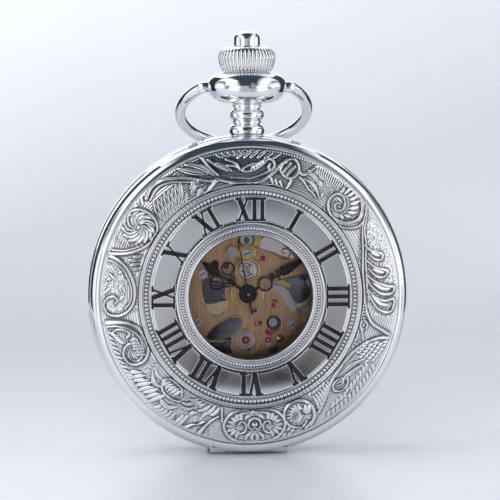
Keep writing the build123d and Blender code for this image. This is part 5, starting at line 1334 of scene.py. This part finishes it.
put(slab("arm_right", sheet_((676, 486), (728, 466), (776, 456), (776, 484), (730, 492), (686, 506)), PF + 0.02, PF + 0.16, rose))
put(slab("arm_upper_right", sheet_((560, 344), (604, 330), (648, 352), (660, 376), (620, 370), (580, 358)), PF + 0.04, PF + 0.14, gilt))
# plate lips beside the openings
for k, pts in enumerate((((118, 318), (112, 380), (122, 440), (146, 510), (190, 546), (236, 540), (276, 500), (280, 470)),
                         ((160, 650), (206, 600), (280, 552), (346, 546), (376, 576), (368, 614)),
                         ((300, 700), (306, 652), (350, 628), (400, 622), (452, 640), (474, 690), (462, 742), (430, 774)),
                         ((552, 372), (584, 400), (612, 440), (640, 492), (690, 512), (728, 540), (742, 584)))):
    line = curve_points([pc(x, y) for x, y in pts], 0.12)
    t = tube(f"plate_lip_{k}", [(x, -(PF + 0.01), z) for x, z in line], np.full(len(line), 0.075), rose, segs=10)
    put(t)
# curved steel lever
lev = curve_points([pc(x, y) for x, y in ((556, 378), (592, 388), (626, 412), (648, 452), (668, 490), (690, 508))], 0.1)
tan = np.gradient(lev, axis=0)
tan /= np.linalg.norm(tan, axis=1)[:, None]
w = 0.30 + 0.34 * np.sin(np.linspace(0.25, 1, len(lev)) * math.pi * 0.95)
edge = np.vstack([lev + np.stack([-tan[:, 1], tan[:, 0]], -1) * w[:, None], (lev - np.stack([-tan[:, 1], tan[:, 0]], -1) * w[:, None])[::-1]])
put(slab("setting_spring_seen", edge, PF + 0.08, PF + 0.26, steel, 0.05))
# upper right: silvered cover with a scrolled copper spring
put(slab("silver_cover", sheet_((476, 96), (520, 66), (590, 100), (650, 150), (676, 200), (640, 196), (590, 176), (528, 158), (478, 146)), PF + 0.02, PF + 0.10, ring_silver))
line = curve_points([pc(x, y) for x, y in ((440, 128), (490, 150), (550, 172), (602, 202), (640, 198), (652, 168), (636, 144), (610, 146), (604, 166), (622, 172))], 0.08)
put(tube("scroll_spring", [(x, -(PF + 0.22), z) for x, z in line], np.full(len(line), 0.11), plate_m, segs=12))
# the wheel and screws on the figure-of-eight bridge
put(hoop("bridge_rim_low", -0.03, 3.5, 1.62, 1.90, 8.62, 8.80, gilt))
put(hoop("bridge_rim_high", -0.12, 6.1, 1.10, 1.36, 8.62, 8.78, gilt))
put(disc("bridge_disc", -0.03, 3.5, 1.42, 8.64, 8.76, steel, rings=3))
put(disc("bridge_disc_centre", -0.03, 3.5, 0.34, 8.70, 8.84, gilt))
for k in range(3):
    a = rad(20 + 120 * k)
    put(disc(f"bridge_disc_pin_{k}", -0.03 + 0.8 * math.sin(a), 3.5 + 0.8 * math.cos(a), 0.17, 8.70, 8.80, ruby))
put(hoop("hub_ring_outer", 0, 0, 2.32, 2.52, 8.26, 8.42, rose), "hour")
put(hoop("hub_ring_middle", 0, 0, 1.74, 1.90, 8.26, 8.42, rose), "hour")
put(hoop("hub_ring_inner", 0, 0, 1.30, 1.46, 8.26, 8.42, steel), "hour")
# pierced gear beside twelve
teeth = []
for k in range(28):
    a = 2 * math.pi * k / 28
    for da, r_ in ((-0.075, 0.86), (-0.03, 1.04), (0.03, 1.04), (0.075, 0.86)):
        teeth.append((-0.17 + r_ * math.sin(a + da), 7.95 + r_ * math.cos(a + da)))
put(disc("keyless_well", -0.17, 7.95, 1.22, 8.30, 8.40, dark_steel, rings=4))
put(slab("keyless_gear", teeth, 8.40, 8.50, steel, 0.015))
put(disc("keyless_hub", -0.17, 7.95, 0.42, 8.49, 8.60, dark_steel))
# jewels, pins and screws on the plate
for k, (x, y, r_, m_, kind) in enumerate(((490, 200, 0.42, ruby, "ruby"), (553, 482, 0.36, ruby, "ruby"), (474, 588, 0.38, ruby, "ruby"), (270, 240, 0.5, ruby, "ruby"), (446, 618, 0.22, gilt, "gilt"), (412, 626, 0.2, gilt, "gilt"), (410, 752, 0.18, dark_steel, "steel"))):
    x_, z_ = pc(x, y)
    put(hoop(f"jewel_seat_{k}", x_, z_, r_, r_ + 0.14, PF, PF + 0.10, rose, 40))
    put(disc(f"jewel_{k}", x_, z_, r_, PF + 0.0, PF + 0.075, m_, 40, rings=1))
x_, z_ = pc(444, 515)
pin = [(x_ + (0.72 if k % 2 else 0.5) * math.sin(k * math.pi / 9 + 0.1 * (k % 2)), z_ + (0.72 if k % 2 else 0.5) * math.cos(k * math.pi / 9 + 0.1 * (k % 2))) for k in range(18)]
put(slab("steel_pinion_seen", pin, PF + 0.01, PF + 0.20, steel, 0.02))
put(disc("steel_pinion_hub", x_, z_, 0.3, PF + 0.19, PF + 0.28, dark_steel))
x_, z_ = pc(556, 590)
put(hoop("well_rim", x_, z_, 1.12, 1.28, PF - 0.02, PF + 0.09, rose))
put(disc("well_floor", x_, z_, 1.14, PF - 0.06, PF + 0.02, dark_steel, rings=4))
put(slab("well_gear", [(x_ - 0.1 + (0.72 if k % 2 else 0.56) * math.sin(k * math.pi / 11), z_ + 0.1 + (0.72 if k % 2 else 0.56) * math.cos(k * math.pi / 11)) for k in range(22)], PF + 0.03, PF + 0.10, steel, 0.015))
x_, z_ = pc(532, 640)
put(disc("well_jewel", x_, z_, 0.66, PF + 0.0, PF + 0.06, ruby, rings=2))
x_, z_ = pc(592, 684)
put(lathe("brass_pin", [[(0.01, PF), (0.62, PF)], [(0.62, PF), (0.62, PF + 0.1), (0.5, PF + 0.32), (0.3, PF + 0.44), (0.01, PF + 0.48)]], [gilt], place=(x_, z_), segs=48, closed=False))
# balance jewel
x_, z_ = pc(387, 692)
put(hoop("balance_ring_outer", x_, z_, 1.22, 1.42, PF + 0.14, PF + 0.26, steel))
put(hoop("balance_ring_inner", x_, z_, 0.82, 0.96, PF + 0.14, PF + 0.24, gilt))
put(disc("balance_cap_jewel", x_, z_, 0.62, PF + 0.14, PF + 0.21, ruby, rings=2))
put(disc("balance_cap_pivot", x_, z_, 0.18, PF + 0.20, PF + 0.24, steel))
# screws that show beside the openings
for k, (x, y, r_, m_, a) in enumerate(((128, 296, 0.56, steel, 30), (662, 600, 0.52, dark_steel, 60), (550, 735, 0.72, gilt, 10), (96, 590, 0.56, gilt, -40), (297, 160, 0.62, steel, 75), (392, 164, 0.62, dark_steel, 15), (204, 232, 0.5, dark_steel, 50))):
    x_, z_ = pc(x, y)
    d = 8.70 if k in (4, 5) else PF
    put(hoop(f"screw_seat_{k}", x_, z_, r_, r_ + 0.13, d, d + 0.07, rose, 40))
    put(screw(f"screw_head_{k}", x_, z_, r_, d + 0.01, d + 0.15, m_, a))


# hands ---------------------------------------------------------------------
def ax(angle, *pts):
    """Points given as (sideways, outward) turned clockwise from twelve."""
    a = rad(angle)
    return [(w_ * math.cos(a) + r_ * math.sin(a), -w_ * math.sin(a) + r_ * math.cos(a)) for w_, r_ in pts]


def mirrored(pts):
    return list(pts) + [(-w_, r_) for w_, r_ in reversed(pts) if abs(w_) > 1e-6]


def hand(name, angle, body, d0, d1, blades, hoops, dots):
    obs = []
    for k, pts in enumerate(blades):
        obs.append(slab(f"{name}_blade_{k}", ax(angle, *mirrored(pts)), d0, d1, black, 0.03))
    for k, (w_, r_, r0, r1) in enumerate(hoops):
        x_, z_ = ax(angle, (w_, r_))[0]
        obs.append(hoop(f"{name}_loop_{k}", x_, z_, r0, r1, d0, d1, black, 48))
    for k, (w_, r_, rr) in enumerate(dots):
        x_, z_ = ax(angle, (w_, r_))[0]
        obs.append(disc(f"{name}_dot_{k}", x_, z_, rr, d0, d1 + 0.01, black, 32))
    for o in obs:
        put(o, body)
    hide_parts(name)
    return obs


hand("hour_hand", 305, "hour", 8.95, 9.09,
     [[(0.22, 1.0), (0.16, 2.6), (0.30, 3.2), (0.14, 3.8), (0.16, 5.4), (0.30, 5.7)],
      [(0.30, 5.55), (0.75, 5.75), (0.95, 6.05), (0.70, 6.25), (0.86, 6.55), (0.60, 6.75), (0.66, 7.05), (0.36, 7.3), (0.26, 7.8), (0.0, 8.5)]],
     [(-1.32, 4.75, 0.86, 1.10), (1.38, 4.55, 0.78, 1.02), (-0.95, 6.0, 0.2, 0.40), (0.62, 3.2, 0.22, 0.42), (-0.62, 3.25, 0.22, 0.42)],
     [(0.95, 6.35, 0.34), (0.0, 2.55, 0.36), (0.0, 5.55, 0.42)])
hand("minute_hand", 58.5, "minute", 9.20, 9.33,
     [[(0.20, 1.0), (0.13, 1.9), (0.0, 2.0)], [(0.13, 3.95), (0.12, 5.0), (0.22, 5.75), (0.30, 5.9)],
      [(0.28, 5.75), (0.62, 5.95), (0.50, 6.3), (0.70, 6.6), (0.54, 6.95), (0.66, 7.3), (0.46, 7.65), (0.54, 8.0), (0.34, 8.4), (0.30, 9.2), (0.12, 10.4), (0.0, 12.6)]],
     [(0.05, 2.95, 0.86, 1.12), (0.0, 5.25, 0.14, 0.34)],
     [(-0.45, 4.42, 0.36), (0.1, 4.05, 0.26), (0.62, 5.1, 0.2), (-0.62, 5.3, 0.2)])
put(disc("hour_boss", 0, 0, 1.38, 8.95, 9.12, black, 96, rings=2), "hour")
put(disc("minute_boss", 0, 0, 1.18, 9.18, 9.42, black, 96, rings=3), "minute")
sec = slab("seconds_needle", ax(-11, *mirrored([(0.16, -3.0), (0.21, -2.6), (0.13, -2.2), (0.12, 0), (0.085, 5.0), (0.06, 8.3)])), 9.70, 9.79, black, 0.02)
put(sec, "seconds")
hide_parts("seconds_hand")
put(disc("seconds_boss", 0, 0, 0.55, 9.68, 9.84, black, 64, rings=2), "seconds")
put(disc("seconds_cap", 0, 0, 0.17, 9.83, 9.92, gilt, 32), "seconds")


# ------------------------------------------------------------------ camera, light, ground
fz = -0.02349
cam = bpy.data.cameras.new("camera")
cam.sensor_width = 36
cam.lens = 222.6
co = bpy.data.objects.new("camera", cam)
scene.collection.objects.link(co)
scene.camera = co
aim = Vector((-0.00010, -0.0137, 0.00685))
dist, yaw, pitch = 0.450, rad(-4.8), rad(4.3)
direction = Vector((math.sin(yaw) * math.cos(pitch), -math.cos(yaw) * math.cos(pitch), math.sin(pitch)))
co.location = aim + direction * dist
co.rotation_euler = (aim - co.location).to_track_quat("-Z", "Y").to_euler()
cam.clip_start, cam.clip_end = 0.01, 10

fm, nt, b = mat("ground_sheet")
tcg = node(nt, "ShaderNodeTexCoord")
spg = node(nt, "ShaderNodeSeparateXYZ")
nt.links.new(tcg.outputs["Object"], spg.inputs["Vector"])


def lin(src, k, add=None):
    q = node(nt, "ShaderNodeMath", operation="MULTIPLY_ADD")
    nt.links.new(src, q.inputs[0])
    q.inputs[1].default_value = k
    if add is None:
        q.inputs[2].default_value = 0.0
    else:
        nt.links.new(add, q.inputs[2])
    return q.outputs[0]


# painted shade: the sheet's colour darkens towards the floor and to the right, in place of the lamps' falloff
painted_falloff = lin(spg.outputs["Z"], 5.5, lin(spg.outputs["X"], -1.2))
n = noise(nt, 30, 3)
painted_falloff = lin(n.outputs["Fac"], 0.05, painted_falloff)
c = ramp(nt, painted_falloff, [(0.0, (0.52, 0.54, 0.59)), (0.25, (0.70, 0.72, 0.77)), (0.5, (0.85, 0.865, 0.905)), (0.85, (0.93, 0.94, 0.965))])
nt.links.new(c.outputs["Color"], b.inputs["Base Color"])
b.inputs["Roughness"].default_value = 0.22
b.inputs["Specular IOR Level"].default_value = 0.3
nf = noise(nt, 900, 2)
bump(nt, b, nf.outputs["Fac"], 0.03, 0.00002)

prof = [(-0.064, 0.0), (0.16, 0.0)] + [(0.16 + 0.25 * math.sin(t), 0.25 - 0.25 * math.cos(t)) for t in np.linspace(0.1, math.pi / 2, 16)] + [(0.41, 1.1)]
V, F = [], []
for x in (-1.2, 1.2):
    for y, z in prof:
        V.append((x * 1000, y * 1000, (fz + z) * 1000))
n = len(prof)
for i in range(n - 1):
    F.append((i, i + 1, n + i + 1, n + i))
floor = poly_mesh("ground", V, F, [fm], smooth=True)

# dark cards beside the watch, out of the picture, which edge its polished rounds
cm, nt, b = mat("dark_card")
n = noise(nt, 60, 3)
c = ramp(nt, n.outputs["Fac"], [(0.3, (0.012, 0.013, 0.016)), (0.7, (0.03, 0.032, 0.038))])
nt.links.new(c.outputs["Color"], b.inputs["Base Color"])
b.inputs["Roughness"].default_value = 0.7
for tag, x, y0, y1, z0, z1 in (("left", -0.105, 0.03, 0.20, -0.02, 0.16), ("right", 0.105, 0.03, 0.20, -0.02, 0.16)):
    card = poly_mesh("card_" + tag, [(x * 1000, y0 * 1000, z0 * 1000), (x * 1000, y1 * 1000, z0 * 1000), (x * 1000, y1 * 1000, z1 * 1000), (x * 1000, y0 * 1000, z1 * 1000)], [(0, 1, 2, 3)], [cm])


def area(name, loc_, target, size, power, colour=(1, 1, 1), size_y=None):
    l = bpy.data.lights.new(name, "AREA")
    l.energy = power
    l.color = colour
    l.size = size
    if size_y:
        l.shape = "RECTANGLE"
        l.size_y = size_y
    o = bpy.data.objects.new(name, l)
    scene.collection.objects.link(o)
    o.location = loc_
    o.rotation_euler = (Vector(target) - Vector(loc_)).to_track_quat("-Z", "Y").to_euler()
    return o


area("key_left", (-0.55, -0.35, 0.42), (0, 0, 0.01), 0.35, 0.55, (1, 0.99, 0.97), 0.6)
area("fill_right", (0.60, -0.30, 0.25), (0, 0, 0.0), 0.30, 0.25, (0.97, 0.98, 1), 0.6)
top = area("top", (-0.25, 0.05, 0.85), (-0.05, 0.35, 0.1), 0.7, 4.95, (0.985, 0.99, 1.0))
top.visible_glossy = False
front = area("front_soft", (-0.12, -0.62, 0.28), (0, 0, 0), 0.3, 3.2, (1, 0.97, 0.95))
front.visible_glossy = False

world = bpy.data.worlds.new("studio")
scene.world = world
world.use_nodes = True
wt = world.node_tree
wt.nodes.clear()
out = node(wt, "ShaderNodeOutputWorld")
bg = node(wt, "ShaderNodeBackground")
wt.links.new(bg.outputs["Background"], out.inputs["Surface"])
tc = node(wt, "ShaderNodeTexCoord")
sep = node(wt, "ShaderNodeSeparateXYZ")
wt.links.new(tc.outputs["Generated"], sep.inputs["Vector"])


def m2(op, a, b, clamp=False):
    q = node(wt, "ShaderNodeMath", operation=op)
    q.use_clamp = clamp
    for i, v in enumerate((a, b)):
        if v is None:
            continue
        if isinstance(v, (int, float)):
            q.inputs[i].default_value = v
        else:
            wt.links.new(v, q.inputs[i])
    return q.outputs[0]


def smooth_step(x, lo, hi):
    q = node(wt, "ShaderNodeMapRange", interpolation_type="SMOOTHSTEP")
    wt.links.new(x, q.inputs["Value"])
    q.inputs["From Min"].default_value = lo
    q.inputs["From Max"].default_value = hi
    q.inputs["To Min"].default_value = 0
    q.inputs["To Max"].default_value = 1
    return q.outputs[0]


X, Y, Z = sep.outputs["X"], sep.outputs["Y"], sep.outputs["Z"]


def mixc(f, a, b):
    q = node(wt, "ShaderNodeMix", data_type="RGBA")
    if isinstance(f, (int, float)):
        q.inputs["Factor"].default_value = f
    else:
        wt.links.new(f, q.inputs["Factor"])
    for i, v in (("A", a), ("B", b)):
        if isinstance(v, tuple):
            q.inputs[i].default_value = (*v, 1)
        else:
            wt.links.new(v, q.inputs[i])
    return q.outputs["Result"]


white, pale, slate, dark, pink = (1.02, 1.04, 1.07), (0.44, 0.46, 0.49), (0.040, 0.057, 0.082), (0.010, 0.010, 0.012), (0.26, 0.19, 0.19)
mid = (0.30, 0.315, 0.34)
absx = m2("ABSOLUTE", X, None)
# light grey everywhere, bright panels to the left and right
sides = smooth_step(absx, 0.30, 0.50)
gap = m2("MULTIPLY", smooth_step(absx, 0.80, 0.86), smooth_step(absx, 0.97, 0.92))
col = mixc(sides, pale, white)
col = mixc(m2("MULTIPLY", gap, 0.75), col, slate)
# dark ceiling above and in front
up = m2("MULTIPLY", smooth_step(Z, 0.10, 0.20), smooth_step(absx, 0.60, 0.34))
col = mixc(m2("MULTIPLY", up, smooth_step(Y, 0.5, 0.2)), col, slate)
# what stands in front: grey to the right, bright to the left, slate over the camera
isf = smooth_step(Y, -0.80, -0.93)
rightside = m2("MULTIPLY", smooth_step(X, 0.09, 0.15), smooth_step(X, 0.40, 0.30))
col = mixc(m2("MULTIPLY", rightside, isf), col, mid)
over = m2("MULTIPLY", smooth_step(Z, -0.012, 0.010), smooth_step(m2("ABSOLUTE", m2("SUBTRACT", X, 0.078), None), 0.062, 0.040))
col = mixc(m2("MULTIPLY", over, isf), col, slate)
# a dark patch a little below, with a warm edge, where the camera and hands stand
px = m2("SUBTRACT", X, 0.085)
pz = m2("SUBTRACT", Z, -0.19)
pr = m2("SQRT", m2("ADD", m2("MULTIPLY", px, px), m2("MULTIPLY", m2("MULTIPLY", pz, pz), 1.7)), None)
col = mixc(m2("MULTIPLY", smooth_step(pr, 0.125, 0.095), isf), col, pink)
col = mixc(m2("MULTIPLY", smooth_step(pr, 0.100, 0.078), isf), col, dark)
wt.links.new(col, bg.inputs["Color"])
bg.inputs["Strength"].default_value = 1.0

scene.view_settings.view_transform = "Standard"
scene.view_settings.look = "None"
scene.view_settings.exposure = 0.14

# ------------------------------------------------------------------ materials on the remaining CAD pieces
looks = {
    chrome: ["case_middle", "hinge_pins"],
    steel: ["inner_bezel", "rear_bezel", "window_retaining_ring", "plate_screws", "movement_screws", "winding_stem", "stem_pull", "barrel_arbor", "click", "clutch_yoke", "sliding_clutch",
            "setting_lever", "winding_pinion", "balance_setting", "movement_ring", "front_catch", "pallet_fork", "escape_wheel"],
    spring_m: ["lid_lift_spring", "click_spring", "button_spring", "hairspring", "mainspring"],
    plate_m: ["main_plate", "barrel_bridge", "train_bridge", "pallet_bridge"],
    gilt: ["minute_bridge", "setting_bridge", "barrel", "barrel_cover", "centre_wheel", "third_wheel", "fourth_wheel", "intermediate_wheel", "minute_wheel", "hour_wheel", "balance_wheel",
           "balance_cock", "setting_wheel", "transfer_wheel", "crown_wheel", "ratchet_wheel"],
    ruby: ["jewels"],
    glass: ["window_glass", "dial_crystal", "rear_crystal"],
    dial_m: ["dial_ring"],
    black: ["hour_hand", "minute_hand", "seconds_hand"],
    dark_steel: ["cannon_pinion"],
    seal_m: ["stem_ring"],
}
for m, names in looks.items():
    for name in names:
        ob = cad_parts.get(name)
        if ob is None:
            continue
        ob.data.materials.clear()
        ob.data.materials.append(m)
        if name not in ("case_middle", "window_glass", "dial_crystal", "rear_crystal", "mainspring", "hairspring", "button_spring"):
            bv = ob.modifiers.new("edge", "BEVEL")
            bv.width = 0.025 * MM
            bv.segments = 2
            bv.limit_method = "ANGLE"
            bv.angle_limit = rad(40)
